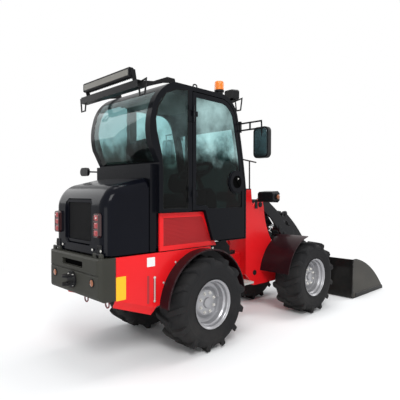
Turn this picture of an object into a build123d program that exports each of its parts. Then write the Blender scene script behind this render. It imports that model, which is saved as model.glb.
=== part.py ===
"""Compact articulated loader with a cab, lifting arm and bucket.

Row frame: +X forward, +Y left, +Z up, ground at z = 0, centred in X and Y.
Section profiles are drawn in side planes whose x counts from the rear axle.
"""
from build123d import *
import math
import os

os.makedirs("parts", exist_ok=True)

# Whole machine
OVERALL_LENGTH = 4555
TAIL_OVERHANG = 1090
REAR_AXLE_X = TAIL_OVERHANG - OVERALL_LENGTH / 2
WHEELBASE = 1650
PIVOT_X = WHEELBASE / 2
GAP = 8
SEAL_GAP = 2

# Wheels
TYRE_RADIUS = 400
TYRE_WIDTH = 320
WHEEL_Y = 418
TREAD_DEPTH = 24
SHOULDER_WIDTH = 26
SHOULDER_DROP = 78
LUGS_PER_SIDE = 13
LUG_THICKNESS = 46
LUG_LEAN = 66
LUG_DRAFT = 6
LUG_ROOT = 46
TYRE_FACETS = 3 * LUGS_PER_SIDE
BEAD_RADIUS = 197
RIM_FLANGE_RADIUS = 210
RIM_HALF_WIDTH = 149
RIM_SHEET = 9
RIM_DISC_W = 34
HUB_RADIUS = 78
AXLE_TUBE_RADIUS = 56

# Rear body
BODY_HALF_WIDTH = 407
BODY_TOP = 872
SKIN = 14
CHASSIS_HALF_WIDTH = 205
CHASSIS_BOTTOM = 300
PLATE = 20
ARCH_RADIUS = 461
FLARE_SHEET = 9
FLARE_LIP_Y = 522
TAIL_PLATE_X = -870
TAIL_X = -1010
TAIL_BOTTOM = 555
TAIL_FOLD_Z = 746
TAIL_CORNER = 45

# Cab
CAB_HALF_WIDTH = 450
CAB_FLOOR = 912
CAB_WALL = 46
WAIST = 1194
DOOR_REAR_X = -147
DOOR_THICK = 32
GLASS = 6
PILLAR = 38

# Hood
HOOD_REAR_X = -960
HOOD_FRONT_X = -566
HOOD_BOTTOM = 885
HOOD_TOP = 1402
HOOD_HALF_WIDTH = BODY_HALF_WIDTH - 7
HOOD_PIN_R = 9
HOOD_HINGE = (HOOD_REAR_X - 13, HOOD_BOTTOM + 13)
HOOD_KNUCKLE_Y = BODY_HALF_WIDTH - 77
HOOD_KNUCKLE_LENGTH = 40
HOOD_SHELL = 5
HOOD_SHOULDER = 190
HOOD_CORNER = 60

# Front frame and loader linkage, each pin as x from the rear axle and z
TOWER_OUTER_Y = 142
TOWER_PLATE = 20
BOOM_OUTER_Y = 112
BOOM_PLATE = 22
PIN_R = 17
SLIDE_GAP = 6
BOOM_PIN = (1180, 1222)
BUCKET_PIN = (2425, 205)
ROCKER_PIN = (1700, 852)
LEVER_TOP_PIN = (1800, 1092)
TILT_ROD_PIN = (1758, 991)
BUCKET_TOP_PIN = (2445, 404)
TILT_BASE_PIN = (1262, 1248)
LIFT_BASE_PIN = (1085, 470)
LIFT_ROD_PIN = (1604, 936)
TILT_ROD_R = 16
LIFT_ROD_R = 22
ROD_EYE_HALF = 13
LINK_INNER_Y = TILT_ROD_R + SLIDE_GAP
LINK_PLATE = 16
ROCKER_INNER_Y = LINK_INNER_Y + LINK_PLATE + 5
ROCKER_PLATE = 16
LIFT_EYE_HALF = 30
BUCKET_HALF_WIDTH = 580
BUCKET_SHEET = 10
BUCKET_BACK_X = 2543
BUCKET_TOP = 502
BUCKET_BEND_Z = 240
BUCKET_LEAN = 24
BUCKET_HEEL = 50
BUCKET_TIP_X = OVERALL_LENGTH - TAIL_OVERHANG
EDGE_PLATE = 16


def side_plane(y):
    """Plane facing -Y at the given y, with x from the rear axle and height as its y."""
    return Plane(origin=(REAR_AXLE_X, y, 0), x_dir=(1, 0, 0), z_dir=(0, -1, 0))


def level_plane(z):
    """Plane facing up at height z, with x from the rear axle."""
    return Plane(origin=(REAR_AXLE_X, 0, z), x_dir=(1, 0, 0), z_dir=(0, 0, 1))


def cross_plane(x):
    """Plane facing forward at x from the rear axle, with y left and z up."""
    return Plane(origin=(REAR_AXLE_X + x, 0, 0), x_dir=(0, 1, 0), z_dir=(1, 0, 0))


def block(x_span, y_span, z_span, mode=Mode.ADD):
    """Box between the given limits, x from the rear axle, added to or cut from the part."""
    centre = (
        REAR_AXLE_X + (x_span[0] + x_span[1]) / 2,
        (y_span[0] + y_span[1]) / 2,
        (z_span[0] + z_span[1]) / 2,
    )
    with Locations(centre):
        Box(x_span[1] - x_span[0], y_span[1] - y_span[0], z_span[1] - z_span[0], mode=mode)


def angle_between(start, end):
    """Angle in degrees of the line from start to end in the side plane."""
    return math.degrees(math.atan2(end[1] - start[1], end[0] - start[0]))


def bent_bar(points, radius):
    """Six-sided bar mitred along a path of 3-D points, x from the rear axle."""
    with BuildPart() as bar:
        with BuildLine() as path:
            Polyline(*[(REAR_AXLE_X + x, y, z) for x, y, z in points])
        with BuildSketch(Plane(origin=path.line @ 0, z_dir=path.line % 0)):
            RegularPolygon(radius, 6)
        sweep(path=path.line, transition=Transition.RIGHT)
    return bar.part


def moulded_head(face_x, centre_y, centre_z, size, corner, depth, draft):
    """Lamp head: a face with cut corners drawn at face_x, its body drafted over depth."""
    with BuildPart() as head:
        with BuildSketch(cross_plane(face_x)) as face:
            with Locations((centre_y, centre_z)):
                Rectangle(*size)
            chamfer(face.vertices(), corner)
        extrude(amount=depth, taper=draft)
    return head.part


# Tyre: a carcass with as many flats as three lugs' pitch allows, and two staggered rows
# of drafted, leaning lugs whose outer corners reach the tyre's radius. It is built once
# about the Y axis and placed at each hub.
carcass_radius = TYRE_RADIUS - TREAD_DEPTH
half_width = TYRE_WIDTH / 2
bead_half_width = RIM_HALF_WIDTH - RIM_SHEET - 1
wall_half_width = half_width - 2
lug_reach = (LUG_LEAN + LUG_THICKNESS) / 2
lug_top = math.sqrt(TYRE_RADIUS**2 - lug_reach**2)
lug_height = TREAD_DEPTH + LUG_ROOT
lug_end = half_width - lug_height * math.tan(math.radians(LUG_DRAFT))
lug_pitch = 360 / LUGS_PER_SIDE
lug_corner_turn = math.degrees(math.asin(lug_reach / TYRE_RADIUS))
wall_radius = TYRE_RADIUS - SHOULDER_DROP
tread_half_width = half_width - SHOULDER_WIDTH


def ring_plane(y):
    """Plane facing left at y, on which a ring about the wheel's axis is drawn."""
    return Plane(origin=(0, y, 0), x_dir=(0, 0, -1), z_dir=(0, 1, 0))


with BuildPart() as tyre:
    for y, radius in (
        (-wall_half_width, wall_radius),
        (-tread_half_width, carcass_radius),
        (tread_half_width, carcass_radius),
        (wall_half_width, wall_radius),
    ):
        with BuildSketch(ring_plane(y)):
            RegularPolygon(radius, TYRE_FACETS)
    loft(ruled=True)
    for row, phase in ((1, 0), (-1, lug_pitch / 2)):
        lug_face = Plane(origin=(0, 0, -lug_top), x_dir=(0, row, 0), z_dir=(0, 0, -1))
        with BuildSketch(lug_face, mode=Mode.PRIVATE) as lug_outline:
            with BuildLine():
                Polyline(
                    (0, row * (lug_reach - LUG_THICKNESS)),
                    (0, row * lug_reach),
                    (lug_end, row * (LUG_THICKNESS - lug_reach)),
                    (lug_end, -row * lug_reach),
                    close=True,
                )
            make_face()
        with BuildPart(mode=Mode.PRIVATE) as lug:
            extrude(lug_outline.sketch, amount=-lug_height, taper=-LUG_DRAFT)
        turns = [count * lug_pitch + phase - lug_corner_turn for count in range(LUGS_PER_SIDE)]
        with Locations(*[Location((0, 0, 0), (0, 1, 0), turn) for turn in turns]):
            add(lug.part)
    for side in (-1, 1):
        for y, radius in ((wall_half_width, wall_radius), (bead_half_width, RIM_FLANGE_RADIUS + 4)):
            with BuildSketch(ring_plane(side * y)):
                RegularPolygon(radius, TYRE_FACETS)
        loft(ruled=True, mode=Mode.SUBTRACT)
    with BuildSketch(ring_plane(-bead_half_width)):
        RegularPolygon(BEAD_RADIUS, TYRE_FACETS)
    extrude(amount=2 * bead_half_width, mode=Mode.SUBTRACT)

# Dished rim, turned about the Y axis.
barrel_radius = BEAD_RADIUS - 2
inner_radius = barrel_radius - RIM_SHEET
bead_y = RIM_HALF_WIDTH - RIM_SHEET
with BuildPart() as rim:
    with BuildSketch(Plane(origin=(0, 0, 0), x_dir=(0, 1, 0), z_dir=(1, 0, 0))):
        with BuildLine():
            Polyline(
                (-RIM_HALF_WIDTH, RIM_FLANGE_RADIUS),
                (-bead_y, RIM_FLANGE_RADIUS),
                (-bead_y, barrel_radius),
                (bead_y, barrel_radius),
                (bead_y, RIM_FLANGE_RADIUS),
                (RIM_HALF_WIDTH, RIM_FLANGE_RADIUS),
                (RIM_HALF_WIDTH, inner_radius),
                (RIM_DISC_W + 10, inner_radius),
                (RIM_DISC_W + 10, 130),
                (RIM_DISC_W + 34, 104),
                (RIM_DISC_W + 34, 52),
                (RIM_DISC_W + 52, 44),
                (RIM_DISC_W + 52, 0),
                (RIM_DISC_W + 20, 0),
                (RIM_DISC_W + 20, 96),
                (RIM_DISC_W - 6, 126),
                (RIM_DISC_W - 6, inner_radius),
                (-RIM_HALF_WIDTH, inner_radius),
                close=True,
            )
        make_face()
    revolve(axis=Axis.Y)

wheel_table = (
    {"name": "rear_left", "x": 0, "side": 1, "turn": 0},
    {"name": "rear_right", "x": 0, "side": -1, "turn": 180},
    {"name": "front_left", "x": WHEELBASE, "side": 1, "turn": 0},
    {"name": "front_right", "x": WHEELBASE, "side": -1, "turn": 180},
)
for wheel in wheel_table:
    hub = (REAR_AXLE_X + wheel["x"], wheel["side"] * WHEEL_Y, TYRE_RADIUS)
    with BuildPart() as placed_tyre:
        with Locations(hub):
            add(tyre.part)
    placed_tyre.part.label = f"tyre_{wheel['name']}"
    export_step(placed_tyre.part, f"parts/tyre_{wheel['name']}.step")
    with BuildPart() as placed_rim:
        with Locations(Location(hub, (0, 0, wheel["turn"]))):
            add(rim.part)
    placed_rim.part.label = f"rim_{wheel['name']}"
    export_step(placed_rim.part, f"parts/rim_{wheel['name']}.step")

# Rear chassis: an open-topped channel with the axle, and forked ears for the centre pin.
CHASSIS_FRONT_X = PIVOT_X - 225
EAR_RADIUS = 62
EAR_THICK = 26
EAR_Z = (432, 700)
with BuildPart() as rear_frame:
    block((TAIL_PLATE_X, CHASSIS_FRONT_X), (-CHASSIS_HALF_WIDTH, CHASSIS_HALF_WIDTH),
          (CHASSIS_BOTTOM, CHASSIS_BOTTOM + PLATE))
    for side in (-1, 1):
        wall_y = side * (CHASSIS_HALF_WIDTH - PLATE / 2)
        with BuildSketch(side_plane(wall_y)):
            with BuildLine():
                Polyline(
                    (TAIL_PLATE_X, CHASSIS_BOTTOM + PLATE),
                    (TAIL_PLATE_X, BODY_TOP),
                    (CHASSIS_FRONT_X - 60, BODY_TOP),
                    (CHASSIS_FRONT_X, BODY_TOP - 60),
                    (CHASSIS_FRONT_X, CHASSIS_BOTTOM + PLATE),
                    close=True,
                )
            make_face()
        extrude(amount=PLATE / 2, both=True)
    block((TAIL_PLATE_X, TAIL_PLATE_X + PLATE), (-BODY_HALF_WIDTH + SKIN, BODY_HALF_WIDTH - SKIN),
          (TAIL_BOTTOM + 10, BODY_TOP))
    block((CHASSIS_FRONT_X - PLATE, CHASSIS_FRONT_X), (-CHASSIS_HALF_WIDTH, CHASSIS_HALF_WIDTH),
          (CHASSIS_BOTTOM, BODY_TOP - 60))
    for ear_z in EAR_Z:
        with BuildSketch(level_plane(ear_z)):
            with Locations((PIVOT_X, 0)):
                Circle(EAR_RADIUS)
            with BuildLine():
                Polyline(
                    (CHASSIS_FRONT_X - 10, -150),
                    (PIVOT_X, -EAR_RADIUS),
                    (PIVOT_X, EAR_RADIUS),
                    (CHASSIS_FRONT_X - 10, 150),
                    close=True,
                )
            make_face()
            with Locations((PIVOT_X, 0)):
                Circle(PIN_R + 1, mode=Mode.SUBTRACT)
        extrude(amount=EAR_THICK)
    with BuildSketch(side_plane(0)):
        with Locations((0, TYRE_RADIUS)):
            Circle(AXLE_TUBE_RADIUS)
    extrude(amount=WHEEL_Y - 60, both=True)
    with BuildSketch(side_plane(0)):
        with Locations((0, TYRE_RADIUS)):
            Circle(HUB_RADIUS)
    extrude(amount=WHEEL_Y + RIM_DISC_W + 14, both=True)
    with BuildSketch(side_plane(0)):
        with Locations((0, TYRE_RADIUS)):
            Circle(118)
    extrude(amount=110, both=True)
rear_frame.part.label = "rear_frame"
export_step(rear_frame.part, "parts/rear_frame.step")

# Red side panels of the rear body, cut round over the wheels, with the hem tucked under.
SKIRT_FOLD = ((TAIL_PLATE_X + 2, TAIL_BOTTOM), (-480, 446))
SKIRT_HEM = ((TAIL_PLATE_X + 6, TAIL_BOTTOM - 63), (-512, 368))
SKIRT_TUCK = 45
with BuildPart() as side_panels:
    for side in (-1, 1):
        with BuildSketch(side_plane(side * (BODY_HALF_WIDTH - SKIN / 2))):
            with BuildLine():
                Polyline(
                    (TAIL_PLATE_X + 2, TAIL_BOTTOM),
                    (-521, 439),
                    (-440, 452),
                    (0, BODY_TOP - 30),
                    (120, BODY_TOP - 30),
                    (120, BODY_TOP),
                    (TAIL_PLATE_X + 2, BODY_TOP),
                    close=True,
                )
            make_face()
            with Locations((0, TYRE_RADIUS)):
                Circle(ARCH_RADIUS, mode=Mode.SUBTRACT)
        extrude(amount=SKIN / 2, both=True)
        fold_y = BODY_HALF_WIDTH - SKIN / 2
        for (rear_end, front_end), strip_y in (
            (SKIRT_FOLD, fold_y),
            (SKIRT_HEM, fold_y - SKIRT_TUCK),
        ):
            with BuildSketch(side_plane(side * strip_y)):
                with BuildLine():
                    Polyline(
                        rear_end,
                        front_end,
                        (front_end[0], front_end[1] + SKIN),
                        (rear_end[0], rear_end[1] + SKIN),
                        close=True,
                    )
                make_face()
        loft(ruled=True)
side_panels.part.label = "side_panels"
export_step(side_panels.part, "parts/side_panels.step")

# Curved fender flares over the rear wheels.
FLARE_RADIUS = ARCH_RADIUS + 4
with BuildPart() as rear_flares:
    for side in (-1, 1):
        with BuildSketch(side_plane(side * (BODY_HALF_WIDTH + 1 + FLARE_LIP_Y) / 2)):
            with Locations((0, TYRE_RADIUS)):
                Circle(FLARE_RADIUS)
                Circle(FLARE_RADIUS - FLARE_SHEET, mode=Mode.SUBTRACT)
            with Locations((0, TYRE_RADIUS + 30)):
                Rectangle(2 * FLARE_RADIUS, FLARE_RADIUS, align=(Align.CENTER, Align.MIN),
                          mode=Mode.INTERSECT)
        extrude(amount=(FLARE_LIP_Y - BODY_HALF_WIDTH - 1) / 2, both=True)
rear_flares.part.label = "rear_flares"
export_step(rear_flares.part, "parts/rear_flares.step")

def knuckle(centre_y, length, back_x, top_z):
    """Hinge barrel on the hood's hinge line with a leaf up to top_z."""
    with BuildPart() as barrel:
        with BuildSketch(side_plane(centre_y)):
            with Locations(HOOD_HINGE):
                Circle(HOOD_PIN_R)
            with BuildLine():
                Polyline(
                    (HOOD_HINGE[0], HOOD_HINGE[1] - 4),
                    (back_x, HOOD_HINGE[1] - 4),
                    (back_x, top_z),
                    (back_x - 6, top_z),
                    (HOOD_HINGE[0], HOOD_HINGE[1] + HOOD_PIN_R),
                    close=True,
                )
            make_face()
        extrude(amount=length / 2, both=True)
    return barrel.part


# Counterweight that closes the tail: rounded corners, a folded band tucked in at its
# lower edge and a long slot.
TAIL_SLOT_Z = 806
TAIL_SLOT = (330, 50)
with BuildPart() as counterweight:
    with BuildSketch(side_plane(0)):
        with BuildLine():
            Line((TAIL_PLATE_X - 2, TAIL_BOTTOM), (TAIL_X + 50, TAIL_BOTTOM))
            ThreePointArc((TAIL_X + 50, TAIL_BOTTOM), (TAIL_X + 17, TAIL_BOTTOM + 16),
                          (TAIL_X + 4, TAIL_BOTTOM + 50))
            Polyline(
                (TAIL_X + 4, TAIL_BOTTOM + 50),
                (TAIL_X + 4, TAIL_FOLD_Z - 10),
                (TAIL_X + 12, TAIL_FOLD_Z),
                (TAIL_X, TAIL_FOLD_Z + 10),
                (TAIL_X, BODY_TOP - 12),
                (TAIL_X + 12, BODY_TOP),
                (TAIL_PLATE_X - 2, BODY_TOP),
                (TAIL_PLATE_X - 2, TAIL_BOTTOM),
            )
        make_face()
    extrude(amount=BODY_HALF_WIDTH, both=True)
    with BuildSketch(level_plane(TAIL_BOTTOM - 1)):
        with Locations((TAIL_PLATE_X - 2, 0)):
            RectangleRounded(2 * (TAIL_PLATE_X - 2 - TAIL_X), 2 * BODY_HALF_WIDTH, TAIL_CORNER)
    extrude(amount=BODY_TOP - TAIL_BOTTOM + 2, mode=Mode.INTERSECT)
    with BuildSketch(cross_plane(TAIL_X - 1)):
        with Locations((0, TAIL_SLOT_Z)):
            RectangleRounded(*TAIL_SLOT, 6)
    extrude(amount=31, mode=Mode.SUBTRACT)
    for side in (-1, 1):
        for step in (-1, 1):
            barrel_y = side * HOOD_KNUCKLE_Y + step * (HOOD_KNUCKLE_LENGTH + SEAL_GAP)
            with BuildSketch(side_plane(barrel_y)):
                with Locations(HOOD_HINGE):
                    Circle(HOOD_PIN_R)
                with BuildLine():
                    Polyline(
                        (HOOD_HINGE[0] - HOOD_PIN_R, HOOD_HINGE[1]),
                        (HOOD_HINGE[0] - HOOD_PIN_R, BODY_TOP - 20),
                        (HOOD_HINGE[0] + HOOD_PIN_R, BODY_TOP - 20),
                        (HOOD_HINGE[0] + HOOD_PIN_R, HOOD_HINGE[1]),
                        close=True,
                    )
                make_face()
            extrude(amount=HOOD_KNUCKLE_LENGTH / 2, both=True)
counterweight.part.label = "counterweight"
export_step(counterweight.part, "parts/counterweight.step")

# Tow coupling: a round flange on the counterweight with two jaw plates and a pin bore.
TOW_Z = 676
TOW_PIN_R = 12.5
TOW_JAW_R = 40
TOW_PIN_X = TOW_JAW_R - TAIL_OVERHANG
TOW_MOUTH = 44
TOW_PLATE = 18
TOW_FLANGE_R = 66
TOW_FLANGE = 14
tow_face_x = TAIL_X + 3
with BuildPart() as tow_hitch:
    with BuildSketch(cross_plane(tow_face_x - TOW_FLANGE)):
        with Locations((0, TOW_Z)):
            Circle(TOW_FLANGE_R)
    extrude(amount=TOW_FLANGE)
    for plate_z in (TOW_Z - TOW_MOUTH / 2 - TOW_PLATE, TOW_Z + TOW_MOUTH / 2):
        with BuildSketch(level_plane(plate_z)):
            with Locations((TOW_PIN_X, 0)):
                Circle(TOW_JAW_R)
            with BuildLine():
                Polyline(
                    (TOW_PIN_X, -TOW_JAW_R),
                    (tow_face_x - TOW_FLANGE + 1, -TOW_FLANGE_R + 12),
                    (tow_face_x - TOW_FLANGE + 1, TOW_FLANGE_R - 12),
                    (TOW_PIN_X, TOW_JAW_R),
                    close=True,
                )
            make_face()
            with Locations((TOW_PIN_X, 0)):
                Circle(TOW_PIN_R, mode=Mode.SUBTRACT)
        extrude(amount=TOW_PLATE)
tow_hitch.part.label = "tow_hitch"
export_step(tow_hitch.part, "parts/tow_hitch.step")

# Traction battery as one plain block between the chassis walls.
with BuildPart() as battery:
    block((TAIL_PLATE_X + 60, -140), (-170, 170), (CHASSIS_BOTTOM + 60, 850))
battery.part.label = "battery"
export_step(battery.part, "parts/battery.step")

# Cab frame: the side outline run across the cab, hollowed, with a hole for each pane,
# door and grille.
ROOF_Z = 2250
CAB_REAR_X = -500
CAB_FRONT_X = 564
with BuildSketch(Plane.XY) as cab_outline:
    with BuildLine():
        Line((-341, ROOF_Z), (233, ROOF_Z - 4))
        ThreePointArc((233, ROOF_Z - 4), (362, 2186), (431, 2080))
        ThreePointArc((431, 2080), (508, 1725), (CAB_FRONT_X, 1380))
        Polyline((CAB_FRONT_X, 1380), (CAB_FRONT_X, CAB_FLOOR), (CAB_REAR_X, CAB_FLOOR),
                 (CAB_REAR_X, 1592), (-574, 1735))
        ThreePointArc((-574, 1735), (-592, 1870), (-574, 1990))
        ThreePointArc((-574, 1990), (-488, 2158), (-341, ROOF_Z))
    make_face()
with BuildSketch(Plane.XY) as quarter_outline:
    with BuildLine():
        Polyline((-528, 1840), (-478, 1660), (-462, 1540), (-462, 1222), (-190, 1222),
                 (-190, 2210), (-321, 2198))
        ThreePointArc((-321, 2198), (-488, 2085), (-528, 1840))
    make_face()
with BuildSketch(Plane.XY) as door_outline:
    with BuildLine():
        Polyline((233, 2206), (DOOR_REAR_X, 2212), (DOOR_REAR_X, WAIST + 2), (5, WAIST + 2),
                 (106, CAB_FLOOR + 6), (546, CAB_FLOOR + 6), (546, 1380))
        ThreePointArc((546, 1380), (486, 1725), (408, 2070))
        ThreePointArc((408, 2070), (340, 2158), (233, 2206))
    make_face()

INNER_Y = CAB_HALF_WIDTH - CAB_WALL
PANE_Y = CAB_HALF_WIDTH - 62
HINGE_X = DOOR_REAR_X + GAP / 2
HINGE_Y = CAB_HALF_WIDTH + 12
HINGE_R = 9
HINGE_LEAF = 52
HINGE_Z = (1340, 2020)
HINGE_HEIGHT = 44
with BuildPart() as cab_frame:
    with BuildSketch(side_plane(CAB_HALF_WIDTH)):
        add(cab_outline.sketch)
    extrude(amount=2 * CAB_HALF_WIDTH)
    with BuildSketch(side_plane(INNER_Y)):
        add(cab_outline.sketch)
        offset(amount=-CAB_WALL, mode=Mode.REPLACE)
    extrude(amount=2 * INNER_Y, mode=Mode.SUBTRACT)
    for wall_y in (CAB_HALF_WIDTH + 1, -INNER_Y):
        with BuildSketch(side_plane(wall_y)):
            add(quarter_outline.sketch)
            add(door_outline.sketch)
        extrude(amount=CAB_WALL + 1, mode=Mode.SUBTRACT)
    for side in (-1, 1):
        inside_y = side * (BODY_HALF_WIDTH - SKIN - GAP)
        block((-510, 210), sorted((inside_y, side * (CAB_HALF_WIDTH + 1))),
              (CAB_FLOOR - 2, WAIST), Mode.SUBTRACT)
    with Locations((REAR_AXLE_X + CAB_FRONT_X, 0, 1570)):
        Box(300, 2 * PANE_Y, 1060, mode=Mode.SUBTRACT)
    with Locations((REAR_AXLE_X - 560, 0, 1880)):
        Box(200, 2 * PANE_Y, 560, mode=Mode.SUBTRACT)
    with Locations((REAR_AXLE_X - 40, 0, ROOF_Z)):
        Box(560, 2 * PANE_Y, 120, mode=Mode.SUBTRACT)
    block((CAB_REAR_X - 56, CAB_REAR_X), (-INNER_Y, INNER_Y), (HOOD_BOTTOM, 1580))
    for side in (-1, 1):
        for hinge_z in HINGE_Z:
            for lift in (-HINGE_HEIGHT - 2, HINGE_HEIGHT + 2):
                with BuildSketch(level_plane(hinge_z + lift - HINGE_HEIGHT / 2)):
                    with Locations((HINGE_X, side * HINGE_Y)):
                        Circle(HINGE_R)
                    with Locations((HINGE_X - HINGE_LEAF / 2, side * (CAB_HALF_WIDTH + 4))):
                        Rectangle(HINGE_LEAF, 8)
                extrude(amount=HINGE_HEIGHT)
cab_frame.part.label = "cab_frame"
export_step(cab_frame.part, "parts/cab_frame.step")

# Roof hatch panel, slightly raised over the frame.
with BuildPart() as cab_roof:
    block((-316, 236), (-PANE_Y + 4, PANE_Y - 4), (ROOF_Z - 26, ROOF_Z + 12))
    fillet(cab_roof.edges().group_by(Axis.Z)[-1], 8)
cab_roof.part.label = "cab_roof"
export_step(cab_roof.part, "parts/cab_roof.step")

# Front and rear panes, bent to the cab outline.
pane_table = (
    {"name": "windscreen", "x": 600, "low": 1042, "high": 2098},
    {"name": "rear_glass", "x": -650, "low": 1602, "high": 2158},
)
for pane in pane_table:
    with BuildPart() as bent_pane:
        with BuildSketch(side_plane(PANE_Y - SEAL_GAP)):
            add(cab_outline.sketch)
            with BuildSketch(mode=Mode.PRIVATE) as pane_inner:
                add(cab_outline.sketch)
                offset(amount=-GLASS, mode=Mode.REPLACE)
            add(pane_inner.sketch, mode=Mode.SUBTRACT)
            with Locations((pane["x"], (pane["low"] + pane["high"]) / 2)):
                Rectangle(380, pane["high"] - pane["low"] - 2 * SEAL_GAP, mode=Mode.INTERSECT)
        extrude(amount=2 * (PANE_Y - SEAL_GAP))
    bent_pane.part.label = pane["name"]
    export_step(bent_pane.part, f"parts/{pane['name']}.step")

# Fixed quarter panes behind the doors, one each side.
with BuildPart() as quarter_glasses:
    for side in (-1, 1):
        with BuildSketch(side_plane(side * (CAB_HALF_WIDTH - 8))):
            add(quarter_outline.sketch)
            offset(amount=-SEAL_GAP, mode=Mode.REPLACE)
        extrude(amount=GLASS / 2, both=True)
quarter_glasses.part.label = "quarter_glasses"
export_step(quarter_glasses.part, "parts/quarter_glasses.step")

# Doors: a deep frame with a solid lower panel, a window and a round latch plate.
LATCH = (425, 1455)
LATCH_R = 98
with BuildSketch(Plane.XY) as window_outline:
    add(door_outline.sketch)
    offset(amount=-GAP - PILLAR, mode=Mode.REPLACE)
    with Locations((200, 1216)):
        Rectangle(900, 1200, align=(Align.CENTER, Align.MIN), mode=Mode.INTERSECT)
    with Locations(LATCH):
        Circle(LATCH_R + 12, mode=Mode.SUBTRACT)
for side_name, side in (("left", 1), ("right", -1)):
    face_y = max(side * CAB_HALF_WIDTH, side * (CAB_HALF_WIDTH - DOOR_THICK))
    with BuildPart() as door:
        with BuildSketch(side_plane(face_y)):
            add(door_outline.sketch)
            offset(amount=-GAP, mode=Mode.REPLACE)
        extrude(amount=DOOR_THICK)
        with BuildSketch(side_plane(face_y)):
            add(window_outline.sketch)
        extrude(amount=DOOR_THICK, mode=Mode.SUBTRACT)
        with BuildSketch(side_plane(side * (CAB_HALF_WIDTH + 3))):
            with Locations(LATCH):
                Circle(LATCH_R)
                Circle(LATCH_R - 36, mode=Mode.SUBTRACT)
        extrude(amount=4, both=True)
        for hinge_z in HINGE_Z:
            with BuildSketch(level_plane(hinge_z - HINGE_HEIGHT / 2)):
                with Locations((HINGE_X, side * HINGE_Y)):
                    Circle(HINGE_R)
                with Locations((HINGE_X + HINGE_LEAF / 2, side * (CAB_HALF_WIDTH + 4))):
                    Rectangle(HINGE_LEAF, 8)
            extrude(amount=HINGE_HEIGHT)
    door.part.label = f"door_{side_name}"
    export_step(door.part, f"parts/door_{side_name}.step")
    with BuildPart() as door_glass:
        with BuildSketch(side_plane(side * (CAB_HALF_WIDTH - 10))):
            add(window_outline.sketch)
            offset(amount=-SEAL_GAP, mode=Mode.REPLACE)
        extrude(amount=GLASS / 2, both=True)
    door_glass.part.label = f"door_glass_{side_name}"
    export_step(door_glass.part, f"parts/door_glass_{side_name}.step")

# Red grille plates low on the cab sides.
with BuildPart() as side_grilles:
    for side in (-1, 1):
        with BuildSketch(side_plane(side * (BODY_HALF_WIDTH - SKIN / 2))):
            with BuildLine():
                Polyline((-464, WAIST - GAP), (20, WAIST - GAP), (60, WAIST - 44),
                         (190, BODY_TOP + GAP), (-464, BODY_TOP + GAP), close=True)
            make_face()
        extrude(amount=SKIN / 2, both=True)
side_grilles.part.label = "side_grilles"
export_step(side_grilles.part, "parts/side_grilles.step")

# Sprung seat on a box, with cushion and backrest as one upholstered piece.
SEAT_X = -150
with BuildPart() as seat:
    block((SEAT_X - 190, SEAT_X + 190), (-180, 180), (CAB_FLOOR + CAB_WALL, 1230))
    block((SEAT_X - 200, SEAT_X + 260), (-230, 230), (1230, 1340))
    with BuildSketch(side_plane(0)):
        with BuildLine():
            Polyline((SEAT_X - 230, 1290), (SEAT_X - 120, 1290), (SEAT_X - 190, 1860),
                     (SEAT_X - 270, 1860), close=True)
        make_face()
    extrude(amount=225, both=True)
seat.part.label = "seat"
export_step(seat.part, "parts/seat.step")

# Steering column with its wheel.
STEERING_HUB = (305, 1560)
STEERING_TILT = 32
with BuildPart() as console:
    with BuildSketch(side_plane(0)):
        with BuildLine():
            Polyline((330, CAB_FLOOR + CAB_WALL), (500, CAB_FLOOR + CAB_WALL), (480, 1330),
                     (400, 1400), (340, 1380), close=True)
        make_face()
    extrude(amount=130, both=True)
    lean = math.radians(STEERING_TILT)
    hub_point = (REAR_AXLE_X + STEERING_HUB[0], 0, STEERING_HUB[1])
    wheel_plane = Plane(origin=hub_point, x_dir=(0, 1, 0), z_dir=(-math.sin(lean), 0, math.cos(lean)))
    with BuildSketch(wheel_plane):
        Circle(190)
        Circle(160, mode=Mode.SUBTRACT)
        Rectangle(340, 34)
        Circle(40)
    extrude(amount=12, both=True)
    with BuildSketch(wheel_plane):
        Circle(24)
    extrude(amount=-240)
console.part.label = "console"
export_step(console.part, "parts/console.step")

# Hood: a rounded shell open to the front and below, hinged at its low rear edge, with a
# recess in its rear face for the louvred panel.
RECESS_HALF_WIDTH = 210
RECESS_Z = (955, 1300)
RECESS_CORNER = 30
RECESS_DEPTH = 30
recess_size = (2 * RECESS_HALF_WIDTH, RECESS_Z[1] - RECESS_Z[0])
recess_centre = (0, (RECESS_Z[0] + RECESS_Z[1]) / 2)
with BuildPart() as hood:
    with BuildSketch(side_plane(HOOD_HALF_WIDTH)):
        with BuildLine():
            Polyline((HOOD_FRONT_X, HOOD_BOTTOM), (HOOD_REAR_X, HOOD_BOTTOM), (HOOD_REAR_X, HOOD_TOP),
                     (HOOD_FRONT_X, HOOD_TOP), close=True)
        make_face()
    extrude(amount=2 * HOOD_HALF_WIDTH)
    top_rear_edge = hood.edges().filter_by(Axis.Y).sort_by(lambda e: e.center().Z - e.center().X)[-1]
    fillet(top_rear_edge, HOOD_SHOULDER)
    rim_edges = [
        edge for edge in hood.edges()
        if abs(abs(edge.center().Y) - HOOD_HALF_WIDTH) < 1
        and edge.center().X < REAR_AXLE_X + HOOD_FRONT_X - 1
        and edge.center().Z > HOOD_BOTTOM + 1
    ]
    fillet(rim_edges, HOOD_CORNER)
    with BuildSketch(cross_plane(HOOD_REAR_X)) as recess:
        with Locations(recess_centre):
            Rectangle(*recess_size)
        chamfer(recess.vertices(), RECESS_CORNER)
    extrude(amount=RECESS_DEPTH, mode=Mode.SUBTRACT)
    openings = [hood.faces().sort_by(Axis.Z)[0], hood.faces().sort_by(Axis.X)[-1]]
    offset(amount=-HOOD_SHELL, openings=openings)
    for side in (-1, 1):
        add(knuckle(side * HOOD_KNUCKLE_Y, HOOD_KNUCKLE_LENGTH, HOOD_REAR_X, HOOD_HINGE[1] + 60))
hood.part.label = "hood"
export_step(hood.part, "parts/hood.step")

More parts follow.
